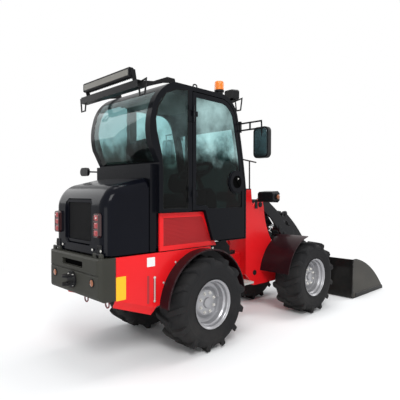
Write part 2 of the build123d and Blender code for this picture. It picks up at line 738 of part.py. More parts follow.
# Louvred panel in the hood's recess, with a raised border.
PANEL_GAP = 3
PANEL_BORDER = 16
with BuildPart() as rear_grille:
    for depth, sink, inset in ((RECESS_DEPTH - 12, 11, 0), (RECESS_DEPTH - 18, 8, PANEL_BORDER)):
        with BuildSketch(cross_plane(HOOD_REAR_X + depth)) as panel_face:
            with Locations(recess_centre):
                Rectangle(recess_size[0] - 2 * PANEL_GAP, recess_size[1] - 2 * PANEL_GAP)
            chamfer(panel_face.vertices(), RECESS_CORNER - PANEL_GAP)
            with Locations(recess_centre):
                if inset:
                    Rectangle(recess_size[0] - 2 * inset, recess_size[1] - 2 * inset,
                              mode=Mode.SUBTRACT)
        extrude(amount=sink)
    slat_pitch = 28
    for count in range(int((recess_size[1] - 2 * PANEL_BORDER) / slat_pitch)):
        slat_z = RECESS_Z[0] + PANEL_BORDER + 8 + count * slat_pitch
        block((HOOD_REAR_X + RECESS_DEPTH - 17, HOOD_REAR_X + RECESS_DEPTH - 10),
              (PANEL_BORDER + 1 - RECESS_HALF_WIDTH, RECESS_HALF_WIDTH - PANEL_BORDER - 1),
              (slat_z, slat_z + slat_pitch / 2))
rear_grille.part.label = "rear_grille"
export_step(rear_grille.part, "parts/rear_grille.step")

# Tail lamps: an upright housing each side of the panel, with three cells.
LAMP_CENTRE = (318, 1110)
LAMP_SIZE = (80, 180)
LAMP_DEPTH = 26
CELL_PITCH = 56
with BuildPart() as tail_lamps:
    for side in (-1, 1):
        add(moulded_head(HOOD_REAR_X - 1, side * LAMP_CENTRE[0], LAMP_CENTRE[1], LAMP_SIZE,
                         16, -LAMP_DEPTH, 8))
        with BuildSketch(cross_plane(HOOD_REAR_X - 1 - LAMP_DEPTH)):
            for row in (-1, 0, 1):
                with Locations((side * LAMP_CENTRE[0], LAMP_CENTRE[1] + row * CELL_PITCH)):
                    Rectangle(LAMP_SIZE[0] - 20, CELL_PITCH - 8)
        extrude(amount=5, mode=Mode.SUBTRACT)
tail_lamps.part.label = "tail_lamps"
export_step(tail_lamps.part, "parts/tail_lamps.step")

# Work-light bar: a finned housing with its lens face to the rear, on end posts over a
# channel beam, which two curved side plates carry back from the roof.
BAR_X = -690
BAR_HALF = (32, 350)
BAR_Z = (2237, 2313)
BAR_FIN = 5
BAR_FIN_PITCH = 25
BEAM_X = (-700, -636)
BEAM_Z = (2150, 2206)
BEAM_HALF_WIDTH = 430
RACK_SHEET = 6
RACK_Y = 392
RACK_OUTLINE = (
    (BEAM_X[0], BEAM_Z[0]), (BEAM_X[1], BEAM_Z[0]), (-560, 2186), (-420, 2236), (-335, ROOF_Z + 1),
    (-290, ROOF_Z + 1), (-300, 2292), (-380, 2292), (-520, 2232), (BEAM_X[0], BEAM_Z[1]),
)
with BuildPart() as light_bar:
    block((BAR_X - BAR_HALF[0], BAR_X + BAR_HALF[0] - 14), (-BAR_HALF[1], BAR_HALF[1]), BAR_Z)
    chamfer(light_bar.edges().filter_by(Axis.Y), 8)
    block((BAR_X - BAR_HALF[0], BAR_X - BAR_HALF[0] + 5),
          (8 - BAR_HALF[1], BAR_HALF[1] - 8), (BAR_Z[0] + 12, BAR_Z[1] - 12), Mode.SUBTRACT)
    fin_count = int(2 * (BAR_HALF[1] - 10) / BAR_FIN_PITCH)
    fin_height = BAR_Z[1] - BAR_Z[0] - 8
    with Locations((REAR_AXLE_X + BAR_X + BAR_HALF[0] - 8, 0, (BAR_Z[0] + BAR_Z[1]) / 2)):
        with GridLocations(1, BAR_FIN_PITCH, 1, fin_count):
            Box(16, BAR_FIN, fin_height)
    for side in (-1, 1):
        post_y = side * (BAR_HALF[1] + RACK_SHEET)
        with BuildSketch(side_plane(post_y)):
            with BuildLine():
                Polyline((BAR_X - 22, BAR_Z[1] - 13), (BAR_X + 22, BAR_Z[1] - 13),
                         (BAR_X + 40, BEAM_Z[1] - 1), (BAR_X + 10, BEAM_Z[1] - 1), close=True)
            make_face()
        extrude(amount=RACK_SHEET + 1, both=True)
        with BuildSketch(side_plane(side * (RACK_Y + 4))):
            with BuildLine():
                Polyline(*RACK_OUTLINE, close=True)
            make_face()
        extrude(amount=4, both=True)
        add(bent_bar(
            ((-665, side * 424, 2194), (-665, side * 500, 2206), (-665, side * 484, 2092),
             (-665, side * 420, 2092), (-665, side * 408, 2162)), 7))
    block(BEAM_X, (-BEAM_HALF_WIDTH, BEAM_HALF_WIDTH), (BEAM_Z[1] - RACK_SHEET, BEAM_Z[1]))
    block(BEAM_X, (-BEAM_HALF_WIDTH, BEAM_HALF_WIDTH), (BEAM_Z[0], BEAM_Z[0] + RACK_SHEET))
    block((BEAM_X[0], BEAM_X[0] + RACK_SHEET), (-BEAM_HALF_WIDTH, BEAM_HALF_WIDTH), BEAM_Z)
light_bar.part.label = "light_bar"
export_step(light_bar.part, "parts/light_bar.step")

# Amber beacon on the right front of the roof: base, lens and domed cap in one turning.
BEACON = (212, -420)
BEACON_PROFILE = ((0, 0), (34, 0), (34, 24), (44, 30), (43, 84), (28, 106), (0, 111))
with BuildPart() as beacon:
    beacon_origin = (REAR_AXLE_X + BEACON[0], BEACON[1], ROOF_Z + 1)
    beacon_plane = Plane(origin=beacon_origin, x_dir=(1, 0, 0), z_dir=(0, -1, 0))
    with BuildSketch(beacon_plane):
        with BuildLine():
            Polyline(*BEACON_PROFILE, close=True)
        make_face()
    revolve(axis=Axis(beacon_origin, (0, 0, 1)))
beacon.part.label = "beacon"
export_step(beacon.part, "parts/beacon.step")

# Front work lamps on brackets from the roof's brow, each beside a protective loop.
WORK_LAMP = (450, 320, 2303)
WORK_LAMP_SIZE = (125, 100)
with BuildPart() as work_lamps:
    for side in (-1, 1):
        add(moulded_head(WORK_LAMP[0] + 84, side * WORK_LAMP[1], WORK_LAMP[2], WORK_LAMP_SIZE,
                         16, -84, 6))
        with BuildSketch(side_plane(side * WORK_LAMP[1])):
            with BuildLine():
                Polyline((398, 2186), (520, 2236), (520, 2260), (500, 2260), (430, 2222),
                         (398, 2200), close=True)
            make_face()
        extrude(amount=34, both=True)
        add(bent_bar(
            ((452, side * 350, 2216), (450, side * 488, 2236), (450, side * 472, 2130),
             (450, side * 420, 2130), (450, side * 408, 2212)), 7))
work_lamps.part.label = "work_lamps"
export_step(work_lamps.part, "parts/work_lamps.step")

# Door mirrors on two-tube arms from the front pillars, and a rear-view head on a stalk at
# the cab's left rear corner.
MIRROR_ARM_Z = (1945, 2010)
MIRROR_HEAD = (542, 672, 1815)
MIRROR_SIZE = (170, 285)
MIRROR_THICK = 44
REAR_HEAD = (-556, 628, 1550)
REAR_HEAD_SIZE = (146, 80)
REAR_HEAD_THICK = 26
with BuildPart() as mirrors:
    for side in (-1, 1):
        block((476, 500), sorted((side * 400, side * 444)), (1925, 2030))
        for arm_z in MIRROR_ARM_Z:
            add(bent_bar(((493, side * 436, arm_z), (493, side * 683, arm_z),
                          (510, side * 683, MIRROR_HEAD[2])), 8))
        block((487, 499), sorted((side * 545, side * 557)), MIRROR_ARM_Z)
        with BuildSketch(cross_plane(MIRROR_HEAD[0] - MIRROR_THICK)):
            with Locations((side * MIRROR_HEAD[1], MIRROR_HEAD[2])):
                RectangleRounded(*MIRROR_SIZE, 44)
        extrude(amount=MIRROR_THICK)
    block((-500, -472), (CAB_HALF_WIDTH + 1, CAB_HALF_WIDTH + 9), (1528, 1562))
    add(bent_bar(((-486, CAB_HALF_WIDTH + 8, 1545), (REAR_HEAD[0], 580, REAR_HEAD[2])), 8))
    with BuildSketch(cross_plane(REAR_HEAD[0] - REAR_HEAD_THICK / 2)):
        with Locations((REAR_HEAD[1], REAR_HEAD[2])):
            SlotOverall(*REAR_HEAD_SIZE)
    extrude(amount=REAR_HEAD_THICK)
mirrors.part.label = "mirrors"
export_step(mirrors.part, "parts/mirrors.step")

# Entry steps hung from the chassis in front of the rear wheels.
STEP_REAR_X = CHASSIS_FRONT_X - 100
STEP_Z = 475
with BuildPart() as steps:
    for side in (-1, 1):
        tread_y = sorted((side * (CHASSIS_HALF_WIDTH + 95), side * (CHASSIS_HALF_WIDTH + 235)))
        arm_y = sorted((side * (CHASSIS_HALF_WIDTH + 1), side * (CHASSIS_HALF_WIDTH + 105)))
        foot_y = sorted((side * (CHASSIS_HALF_WIDTH + 1), side * (CHASSIS_HALF_WIDTH + 11)))
        block((STEP_REAR_X, STEP_REAR_X + 200), tread_y, (STEP_Z - 20, STEP_Z))
        block((STEP_REAR_X, STEP_REAR_X + 20), tread_y, (STEP_Z - 20, STEP_Z + 45))
        block((STEP_REAR_X + 20, STEP_REAR_X + 60), arm_y, (STEP_Z - 20, STEP_Z))
        block((STEP_REAR_X + 140, STEP_REAR_X + 180), arm_y, (STEP_Z - 20, STEP_Z))
        block((STEP_REAR_X + 20, CHASSIS_FRONT_X - 2), foot_y, (STEP_Z - 20, STEP_Z + 85))
steps.part.label = "steps"
export_step(steps.part, "parts/steps.step")

# Front frame: two tower plates, cross walls, centre pin tongue and axle.
TOWER_REAR_X = 945
with BuildPart() as front_frame:
    for side in (-1, 1):
        with BuildSketch(side_plane(side * (TOWER_OUTER_Y - TOWER_PLATE / 2))):
            with BuildLine():
                Polyline((1250, 1180), (1228, 1262), (1150, 1280), (1060, 1215), (1040, 1225),
                         (1020, 1400), (945, 1400), (925, 1220), (TOWER_REAR_X - 15, 1100),
                         (TOWER_REAR_X - 10, 470), (1080, 330), (1860, 330), (1880, 480),
                         (1780, 560), (1400, 800))
                ThreePointArc((1400, 800), (1300, 975), (1250, 1180))
            make_face()
        extrude(amount=TOWER_PLATE / 2, both=True)
    inner = TOWER_OUTER_Y - TOWER_PLATE + 1
    block((TOWER_REAR_X, TOWER_REAR_X + PLATE), (-inner, inner), (460, 1080))
    block((1080, 1860), (-inner, inner), (330, 350))
    block((1860 - PLATE, 1860), (-inner, inner), (340, 470))
    tongue_low = EAR_Z[0] + EAR_THICK + GAP
    tongue_high = EAR_Z[1] - GAP
    block((PIVOT_X, TOWER_REAR_X + 5), (-40, 40), (tongue_low, tongue_high))
    with BuildSketch(level_plane(tongue_low)):
        with Locations((PIVOT_X, 0)):
            Circle(50)
    extrude(amount=tongue_high - tongue_low)
    with BuildSketch(level_plane(EAR_Z[0] - 12)):
        with Locations((PIVOT_X, 0)):
            Circle(PIN_R)
    extrude(amount=EAR_Z[1] + EAR_THICK + 24 - EAR_Z[0])
    for radius, reach in (
        (AXLE_TUBE_RADIUS, WHEEL_Y - 60),
        (HUB_RADIUS, WHEEL_Y + RIM_DISC_W + 14),
    ):
        with BuildSketch(side_plane(0)):
            with Locations((WHEELBASE, TYRE_RADIUS)):
                Circle(radius)
        extrude(amount=reach, both=True)
    for pin in (BOOM_PIN, LIFT_BASE_PIN):
        with BuildSketch(side_plane(0)):
            with Locations(pin):
                Circle(PIN_R)
        extrude(amount=inner, both=True)
    add(bent_bar(((1004, -TOWER_OUTER_Y + 10, 1392), (1001, -TOWER_OUTER_Y + 10, 1698)), 8))
    add(bent_bar(((888, -TOWER_OUTER_Y + 10, 1712), (1116, -TOWER_OUTER_Y + 10, 1692)), 8))
front_frame.part.label = "front_frame"
export_step(front_frame.part, "parts/front_frame.step")

# Rear halves of the front fenders, one curved sheet each side.
FENDER_RADIUS = 475
with BuildPart() as front_fenders:
    for side in (-1, 1):
        with BuildSketch(side_plane(side * (TOWER_OUTER_Y + 1 + 520) / 2)):
            with Locations((WHEELBASE, TYRE_RADIUS)):
                Circle(FENDER_RADIUS)
                Circle(FENDER_RADIUS - FLARE_SHEET, mode=Mode.SUBTRACT)
            with Locations((WHEELBASE - 80, TYRE_RADIUS + 85)):
                Rectangle(FENDER_RADIUS, FENDER_RADIUS, align=(Align.MAX, Align.MIN),
                          mode=Mode.INTERSECT)
        extrude(amount=(520 - TOWER_OUTER_Y - 1) / 2, both=True)
front_fenders.part.label = "front_fenders"
export_step(front_fenders.part, "parts/front_fenders.step")

# Headlamp housings on brackets from the tower, each with a round lens on its outer side.
HEADLAMP = (1160, 310, 1312)
HEADLAMP_SIZE = (220, 124)
with BuildPart() as headlamps:
    for side in (-1, 1):
        add(moulded_head(HEADLAMP[0], side * HEADLAMP[1], HEADLAMP[2], HEADLAMP_SIZE, 24, -110, 5))
        with BuildSketch(side_plane(side * (HEADLAMP[1] + HEADLAMP_SIZE[0] / 2 + 2))):
            with Locations((HEADLAMP[0] - 40, HEADLAMP[2])):
                Circle(30)
        extrude(amount=8, both=True)
        block((1085, 1125), sorted((side * (TOWER_OUTER_Y + 1), side * 232)), (1255, 1275))
        block((1085, 1125), sorted((side * (TOWER_OUTER_Y + 1), side * (TOWER_OUTER_Y + 9))),
              (1180, 1275))
headlamps.part.label = "headlamps"
export_step(headlamps.part, "parts/headlamps.step")


def plate_between(points, centre_y, half_thick):
    """Flat plate with its outline in the side plane, centred on centre_y."""
    with BuildPart() as plate:
        with BuildSketch(side_plane(centre_y)):
            with BuildLine():
                Polyline(*points, close=True)
            make_face()
        extrude(amount=half_thick, both=True)
    return plate.part


def boss(pin, radius, half_length):
    """Round boss across the machine at a pin, added to the open part."""
    with Locations(Location((REAR_AXLE_X + pin[0], 0, pin[1]), (90, 0, 0))):
        Cylinder(radius, 2 * half_length)


def bore(pin, radius, half_length):
    """Round hole across the machine at a pin, cut from the open part."""
    with Locations(Location((REAR_AXLE_X + pin[0], 0, pin[1]), (90, 0, 0))):
        Cylinder(radius, 2 * half_length, mode=Mode.SUBTRACT)


def stubs(pin, radius, inner_y, outer_y):
    """Pair of short pins across the machine, one each side, added to the open part."""
    for side in (-1, 1):
        stub_y = side * (inner_y + outer_y) / 2
        with Locations(Location((REAR_AXLE_X + pin[0], stub_y, pin[1]), (90, 0, 0))):
            Cylinder(radius, outer_y - inner_y)


def bar_between(start, end, radius, centre_y, half_thick):
    """Round-ended flat bar between two pins, centred on centre_y."""
    middle = ((start[0] + end[0]) / 2, (start[1] + end[1]) / 2)
    with BuildPart() as bar:
        with BuildSketch(side_plane(centre_y)):
            with Locations(start, end):
                Circle(radius)
            with Locations(Location(middle, angle_between(start, end))):
                Rectangle(math.dist(start, end), 2 * radius)
        extrude(amount=half_thick, both=True)
    return bar.part


# Boom: two bent side plates tied by a web and a cross tube, with pins for the linkage.
BOOM_INNER_Y = BOOM_OUTER_Y - BOOM_PLATE
BOOM_OUTLINE = (
    (1130, 1262), (1105, 1215), (1150, 1172), (1278, 1160), (1432, 1062), (1676, 820),
    (1840, 676), (2040, 470), (2345, 160), (2425, 140), (2485, 190), (2465, 262),
    (2270, 420), (2080, 640), (1930, 830), (1860, 930), (1740, 960), (1600, 1110),
    (1400, 1240), (1290, 1298), (1215, 1300),
)
BOOM_WEB = ((1290, 1161), (1420, 1078), (1428, 1090), (1298, 1175))
with BuildPart() as boom:
    for side in (-1, 1):
        add(plate_between(BOOM_OUTLINE, side * (BOOM_OUTER_Y - BOOM_PLATE / 2), BOOM_PLATE / 2))
    add(plate_between(BOOM_WEB, 0, BOOM_INNER_Y + 1))
    boss((2200, 380), 44, BOOM_INNER_Y + 1)
    boss(TILT_BASE_PIN, PIN_R, BOOM_INNER_Y + 1)
    boss(ROCKER_PIN, PIN_R, BOOM_INNER_Y + 1)
    stubs(LIFT_ROD_PIN, PIN_R + 12, LIFT_EYE_HALF + 5, BOOM_INNER_Y + 1)
    bore(BOOM_PIN, PIN_R + 1, BOOM_OUTER_Y + 1)
    bore(BUCKET_PIN, PIN_R + 1, BOOM_OUTER_Y + 1)
boom.part.label = "boom"
export_step(boom.part, "parts/boom.step")

# Rocker: two plates from the boom up to the link, with stub pins beside the tilt rod.
ROCKER_MID_Y = ROCKER_INNER_Y + ROCKER_PLATE / 2
with BuildPart() as rocker:
    for side in (-1, 1):
        add(bar_between(ROCKER_PIN, LEVER_TOP_PIN, 38, side * ROCKER_MID_Y, ROCKER_PLATE / 2))
    boss(LEVER_TOP_PIN, PIN_R, ROCKER_INNER_Y + 1)
    boss(ROCKER_PIN, 30, ROCKER_INNER_Y + 1)
    stubs(TILT_ROD_PIN, PIN_R, ROD_EYE_HALF + 5, ROCKER_INNER_Y + 1)
    bore(ROCKER_PIN, PIN_R + 1, ROCKER_INNER_Y + ROCKER_PLATE + 1)
rocker.part.label = "rocker"
export_step(rocker.part, "parts/rocker.step")

# Curved twin-plate link from the rocker to the bucket.
LINK_MID_Y = LINK_INNER_Y + LINK_PLATE / 2
with BuildPart() as link:
    for side in (-1, 1):
        with BuildSketch(side_plane(side * LINK_MID_Y)):
            with BuildLine():
                ThreePointArc((1812, 1122), (2165, 840), (2479, 418))
                Line((2479, 418), (2411, 388))
                ThreePointArc((2411, 388), (2085, 780), (1788, 1062))
                Line((1788, 1062), (1812, 1122))
            make_face()
            with Locations(LEVER_TOP_PIN, BUCKET_TOP_PIN):
                Circle(34)
        extrude(amount=LINK_PLATE / 2, both=True)
    boss((2130, 806), 20, LINK_INNER_Y + 1)
    bore(LEVER_TOP_PIN, PIN_R + 1, LINK_MID_Y + LINK_PLATE)
    boss(BUCKET_TOP_PIN, PIN_R, LINK_INNER_Y + LINK_PLATE + 4)
link.part.label = "link"
export_step(link.part, "parts/link.step")

# Bucket: a bent sheet between two side plates with curved front edges, a bevelled
# cutting edge and hinge ears.
MOUTH_X = BUCKET_TIP_X + 30
MOUTH_Z = BUCKET_TOP + 50
BUCKET_LIP = 97
EDGE_X = BUCKET_TIP_X - 190
EDGE_BEVEL = 42
heel_x = BUCKET_BACK_X - BUCKET_LEAN
bend_x = BUCKET_BACK_X - BUCKET_LEAN / 2
heel_drop = BUCKET_HEEL * (1 - math.cos(math.radians(45)))
back_x = BUCKET_BACK_X + BUCKET_SHEET
with BuildPart() as bucket:
    with BuildSketch(side_plane(BUCKET_HALF_WIDTH)):
        with BuildLine():
            Polyline((heel_x, BUCKET_HEEL), (bend_x, BUCKET_BEND_Z), (BUCKET_BACK_X, BUCKET_TOP),
                     (BUCKET_BACK_X + BUCKET_LIP, BUCKET_TOP))
            ThreePointArc((BUCKET_BACK_X + BUCKET_LIP, BUCKET_TOP), (3100, 322),
                          (BUCKET_TIP_X, 4))
            Polyline((BUCKET_TIP_X, 4), (BUCKET_TIP_X, 0), (heel_x + BUCKET_HEEL, 0))
            ThreePointArc((heel_x + BUCKET_HEEL, 0), (heel_x + heel_drop, heel_drop),
                          (heel_x, BUCKET_HEEL))
        make_face()
    extrude(amount=2 * BUCKET_HALF_WIDTH)
    with BuildSketch(side_plane(BUCKET_HALF_WIDTH - BUCKET_SHEET)):
        with BuildLine():
            Polyline((heel_x + BUCKET_SHEET, BUCKET_HEEL), (bend_x + BUCKET_SHEET, BUCKET_BEND_Z),
                     (back_x, BUCKET_TOP), (back_x, MOUTH_Z), (MOUTH_X, MOUTH_Z),
                     (MOUTH_X, 0), (BUCKET_TIP_X, 0), (BUCKET_TIP_X - EDGE_BEVEL, EDGE_PLATE),
                     (EDGE_X, EDGE_PLATE), (EDGE_X, BUCKET_SHEET),
                     (heel_x + BUCKET_HEEL, BUCKET_SHEET))
            ThreePointArc((heel_x + BUCKET_HEEL, BUCKET_SHEET),
                          (heel_x + heel_drop + BUCKET_SHEET / 2, heel_drop + BUCKET_SHEET / 2),
                          (heel_x + BUCKET_SHEET, BUCKET_HEEL))
        make_face()
    extrude(amount=2 * (BUCKET_HALF_WIDTH - BUCKET_SHEET), mode=Mode.SUBTRACT)
    for side in (-1, 1):
        add(plate_between(
            ((BUCKET_BACK_X + 2, 480), (2425, 496), (2405, 440), (2380, 205), (2425, 160),
             (bend_x - 2, 130)),
            side * (BOOM_OUTER_Y + GAP + 12), 12))
        add(plate_between(
            ((BUCKET_BACK_X + 2, 460), (2475, 450), (2405, 420), (2417, 375),
             (BUCKET_BACK_X - 4, 340)),
            side * (LINK_INNER_Y + LINK_PLATE + GAP + 8), 8))
    boss(BUCKET_PIN, PIN_R, BOOM_OUTER_Y + GAP + 14)
bucket.part.label = "bucket"
export_step(bucket.part, "parts/bucket.step")

# Hydraulic cylinders, each a barrel with a base eye and a rod with an eye at its end.
# "show" is the bare rod and "spare" the stroke left inwards, both at rest.
cylinder_table = (
    {"name": "lift", "base": LIFT_BASE_PIN, "eye": LIFT_ROD_PIN, "barrel": 42,
     "rod": LIFT_ROD_R, "half": LIFT_EYE_HALF, "show": 90, "spare": 20},
    {"name": "tilt", "base": TILT_BASE_PIN, "eye": TILT_ROD_PIN, "barrel": 34,
     "rod": TILT_ROD_R, "half": ROD_EYE_HALF, "show": 180, "spare": 76},
)
END_CAP = 14
EYE_R = 32
for cylinder in cylinder_table:
    base = cylinder["base"]
    eye = cylinder["eye"]
    reach = math.dist(base, eye)
    rise = math.radians(angle_between(base, eye))
    run = (math.cos(rise), 0, math.sin(rise))
    line = Plane(origin=(REAR_AXLE_X + base[0], 0, base[1]), x_dir=(0, 1, 0), z_dir=run)
    with BuildPart() as barrel:
        with BuildSketch(line.offset(EYE_R - 4)):
            Circle(cylinder["barrel"])
        extrude(amount=reach - cylinder["show"] - EYE_R)
        with BuildSketch(line.offset(EYE_R + END_CAP)):
            Circle(cylinder["rod"] + 1)
        extrude(amount=reach, mode=Mode.SUBTRACT)
        boss(base, EYE_R, cylinder["barrel"] - 6)
        bore(base, PIN_R + 1, cylinder["barrel"])
    barrel.part.label = f"{cylinder['name']}_barrel"
    export_step(barrel.part, f"parts/{cylinder['name']}_barrel.step")
    with BuildPart() as rod:
        with BuildSketch(line.offset(EYE_R + END_CAP + cylinder["spare"])):
            Circle(cylinder["rod"])
        extrude(amount=reach - 2 * EYE_R - END_CAP - cylinder["spare"] + 8)
        boss(eye, EYE_R - 4, cylinder["half"])
    rod.part.label = f"{cylinder['name']}_rod"
    export_step(rod.part, f"parts/{cylinder['name']}_rod.step")
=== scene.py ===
"""Compact articulated electric loader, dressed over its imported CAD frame."""
import math

import bmesh
import bpy
import numpy as np
from mathutils import Matrix, Vector


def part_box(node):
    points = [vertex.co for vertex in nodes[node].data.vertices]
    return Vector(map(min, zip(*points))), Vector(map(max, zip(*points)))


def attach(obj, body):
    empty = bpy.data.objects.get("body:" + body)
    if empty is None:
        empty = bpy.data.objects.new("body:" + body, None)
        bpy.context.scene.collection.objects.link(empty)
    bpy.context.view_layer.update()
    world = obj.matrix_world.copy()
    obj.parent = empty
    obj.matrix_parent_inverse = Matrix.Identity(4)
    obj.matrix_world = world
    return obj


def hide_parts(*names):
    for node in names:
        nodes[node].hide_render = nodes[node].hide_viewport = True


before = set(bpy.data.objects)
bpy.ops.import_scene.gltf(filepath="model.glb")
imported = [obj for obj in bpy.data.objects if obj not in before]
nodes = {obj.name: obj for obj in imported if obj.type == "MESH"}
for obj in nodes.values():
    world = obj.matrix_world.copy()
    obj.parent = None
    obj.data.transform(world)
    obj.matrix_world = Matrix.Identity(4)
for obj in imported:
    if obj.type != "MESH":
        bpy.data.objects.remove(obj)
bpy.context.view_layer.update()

# View: the camera stands behind and to the right of the loader at chest height. Its place
# counts from the rear axle, and its lens comes from the wheels' ellipses.
rear_axle_x = sum(corner[0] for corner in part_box("rim_rear_right")) / 2
CAMERA_AZIMUTH, CAMERA_DIP, CAMERA_ROLL = math.radians(45.98), math.radians(0.98), math.radians(0.147)
CAMERA_X, CAMERA_Y, CAMERA_Z = rear_axle_x - 2.524, -3.004, 1.351
SENSOR_WIDTH = 36.0
FOCAL_PIXELS, IMAGE_PIXELS = 412.57, 400
camera_data = bpy.data.cameras.new("camera")
camera_data.sensor_width = SENSOR_WIDTH
camera_data.lens = SENSOR_WIDTH * FOCAL_PIXELS / IMAGE_PIXELS
camera = bpy.data.objects.new("camera", camera_data)
bpy.context.scene.collection.objects.link(camera)
level_look = Vector((math.cos(CAMERA_AZIMUTH), math.sin(CAMERA_AZIMUTH), 0.0))
look = level_look * math.cos(CAMERA_DIP) - Vector((0, 0, math.sin(CAMERA_DIP)))
level_right = look.cross(Vector((0, 0, 1))).normalized()
level_up = level_right.cross(look)
right = level_right * math.cos(CAMERA_ROLL) + level_up * math.sin(CAMERA_ROLL)
up = level_up * math.cos(CAMERA_ROLL) - level_right * math.sin(CAMERA_ROLL)
turned = Matrix((right, up, -look)).transposed().to_4x4()
camera.matrix_world = Matrix.Translation((CAMERA_X, CAMERA_Y, CAMERA_Z)) @ turned
bpy.context.scene.camera = camera


# Setting: a white floor that keeps the loader's shadow and fades into a white sky, with
# a broad lamp from the right rear, weaker ones round it and one overhead.
def shader_material(name):
    """New node material and its Principled shader."""
    material = bpy.data.materials.new(name)
    material.use_nodes = True
    return material, material.node_tree.nodes["Principled BSDF"]


def add_math(tree, operation, *values, clamp=False):
    """Math node on the given values or sockets, and its output."""
    node = tree.nodes.new("ShaderNodeMath")
    node.operation = operation
    node.use_clamp = clamp
    for index, value in enumerate(values):
        if isinstance(value, (int, float)):
            node.inputs[index].default_value = value
        else:
            tree.links.new(value, node.inputs[index])
    return node.outputs[0]


def background_rays(tree):
    """Mask of camera, glossy and transmission rays."""
    rays = tree.nodes.new("ShaderNodeLightPath")
    seen = add_math(tree, "ADD", rays.outputs["Is Camera Ray"], rays.outputs["Is Glossy Ray"])
    return add_math(tree, "ADD", seen, rays.outputs["Is Transmission Ray"], clamp=True)


bpy.context.scene.view_settings.view_transform = "Standard"
world = bpy.data.worlds.new("sky")
bpy.context.scene.world = world
world.use_nodes = True
sky = world.node_tree
sky.nodes.clear()
sky_out = sky.nodes.new("ShaderNodeOutputWorld")
sky_mix = sky.nodes.new("ShaderNodeMixShader")
sky_table = (
    # strength, colour and place in the mix: what lights the loader, then what is seen
    (0.50, (0.94, 0.97, 1, 1), 1),
    (1.0, (1, 1, 1, 1), 2),
)
for strength, colour, number in sky_table:
    sky_part = sky.nodes.new("ShaderNodeBackground")
    sky_part.inputs["Strength"].default_value = strength
    sky_part.inputs["Color"].default_value = colour
    sky.links.new(sky_part.outputs["Background"], sky_mix.inputs[number])
sky.links.new(background_rays(sky), sky_mix.inputs["Fac"])
sky.links.new(sky_mix.outputs["Shader"], sky_out.inputs["Surface"])

FLOOR_REACH = 30.0
FADE_FROM, FADE_TO = 2.4, 4.6
corners = [(x * FLOOR_REACH, y * FLOOR_REACH, 0) for x, y in ((-1, -1), (1, -1), (1, 1), (-1, 1))]
floor_mesh = bpy.data.meshes.new("floor")
floor_mesh.from_pydata(corners, [], [(0, 1, 2, 3)])
floor = bpy.data.objects.new("floor", floor_mesh)
bpy.context.scene.collection.objects.link(floor)
floor_paint, floor_shader = shader_material("floor")
floor_shader.inputs["Base Color"].default_value = (0.93, 0.93, 0.93, 1)
floor_shader.inputs["Roughness"].default_value = 0.95
floor_shader.inputs["Specular IOR Level"].default_value = 0.1
floor_tree = floor_paint.node_tree
floor_place = floor_tree.nodes.new("ShaderNodeTexCoord")
floor_range = floor_tree.nodes.new("ShaderNodeVectorMath")
floor_range.operation = "LENGTH"
floor_tree.links.new(floor_place.outputs["Object"], floor_range.inputs[0])
floor_fade = floor_tree.nodes.new("ShaderNodeMapRange")
floor_fade.interpolation_type = "SMOOTHSTEP"
floor_fade.inputs["From Min"].default_value = FADE_FROM
floor_fade.inputs["From Max"].default_value = FADE_TO
floor_tree.links.new(floor_range.outputs["Value"], floor_fade.inputs["Value"])
floor_glow = floor_tree.nodes.new("ShaderNodeEmission")
floor_mix = floor_tree.nodes.new("ShaderNodeMixShader")
floor_far = add_math(floor_tree, "MULTIPLY", floor_fade.outputs["Result"], background_rays(floor_tree))
floor_tree.links.new(floor_far, floor_mix.inputs["Fac"])
floor_tree.links.new(floor_shader.outputs["BSDF"], floor_mix.inputs[1])
floor_tree.links.new(floor_glow.outputs["Emission"], floor_mix.inputs[2])
floor_tree.links.new(floor_mix.outputs["Shader"], floor_tree.nodes["Material Output"].inputs["Surface"])
floor_mesh.materials.append(floor_paint)

LIGHT_AIM = Vector((0, 0, 0.9))
light_table = (
    # name, place, size and watts
    ("key", (-4.5, -5.0, 5.5), (2.6, 2.6), 300),
    ("fill", (-3.0, 5.5, 3.5), (4.0, 3.0), 110),
    ("front", (6.5, -2.0, 4.0), (3.0, 3.0), 150),
    ("overhead", (0.0, 0.0, 6.5), (5.0, 2.0), 150),
    ("low", (-5.5, -2.5, 1.0), (2.5, 1.5), 35),
)
for light_name, place, size, power in light_table:
    light_data = bpy.data.lights.new(light_name, "AREA")
    light_data.shape = "RECTANGLE"
    light_data.size, light_data.size_y = size
    light_data.energy = power
    light = bpy.data.objects.new(light_name, light_data)
    light.location = place
    light.rotation_euler = (LIGHT_AIM - Vector(place)).to_track_quat("-Z", "Y").to_euler()
    bpy.context.scene.collection.objects.link(light)


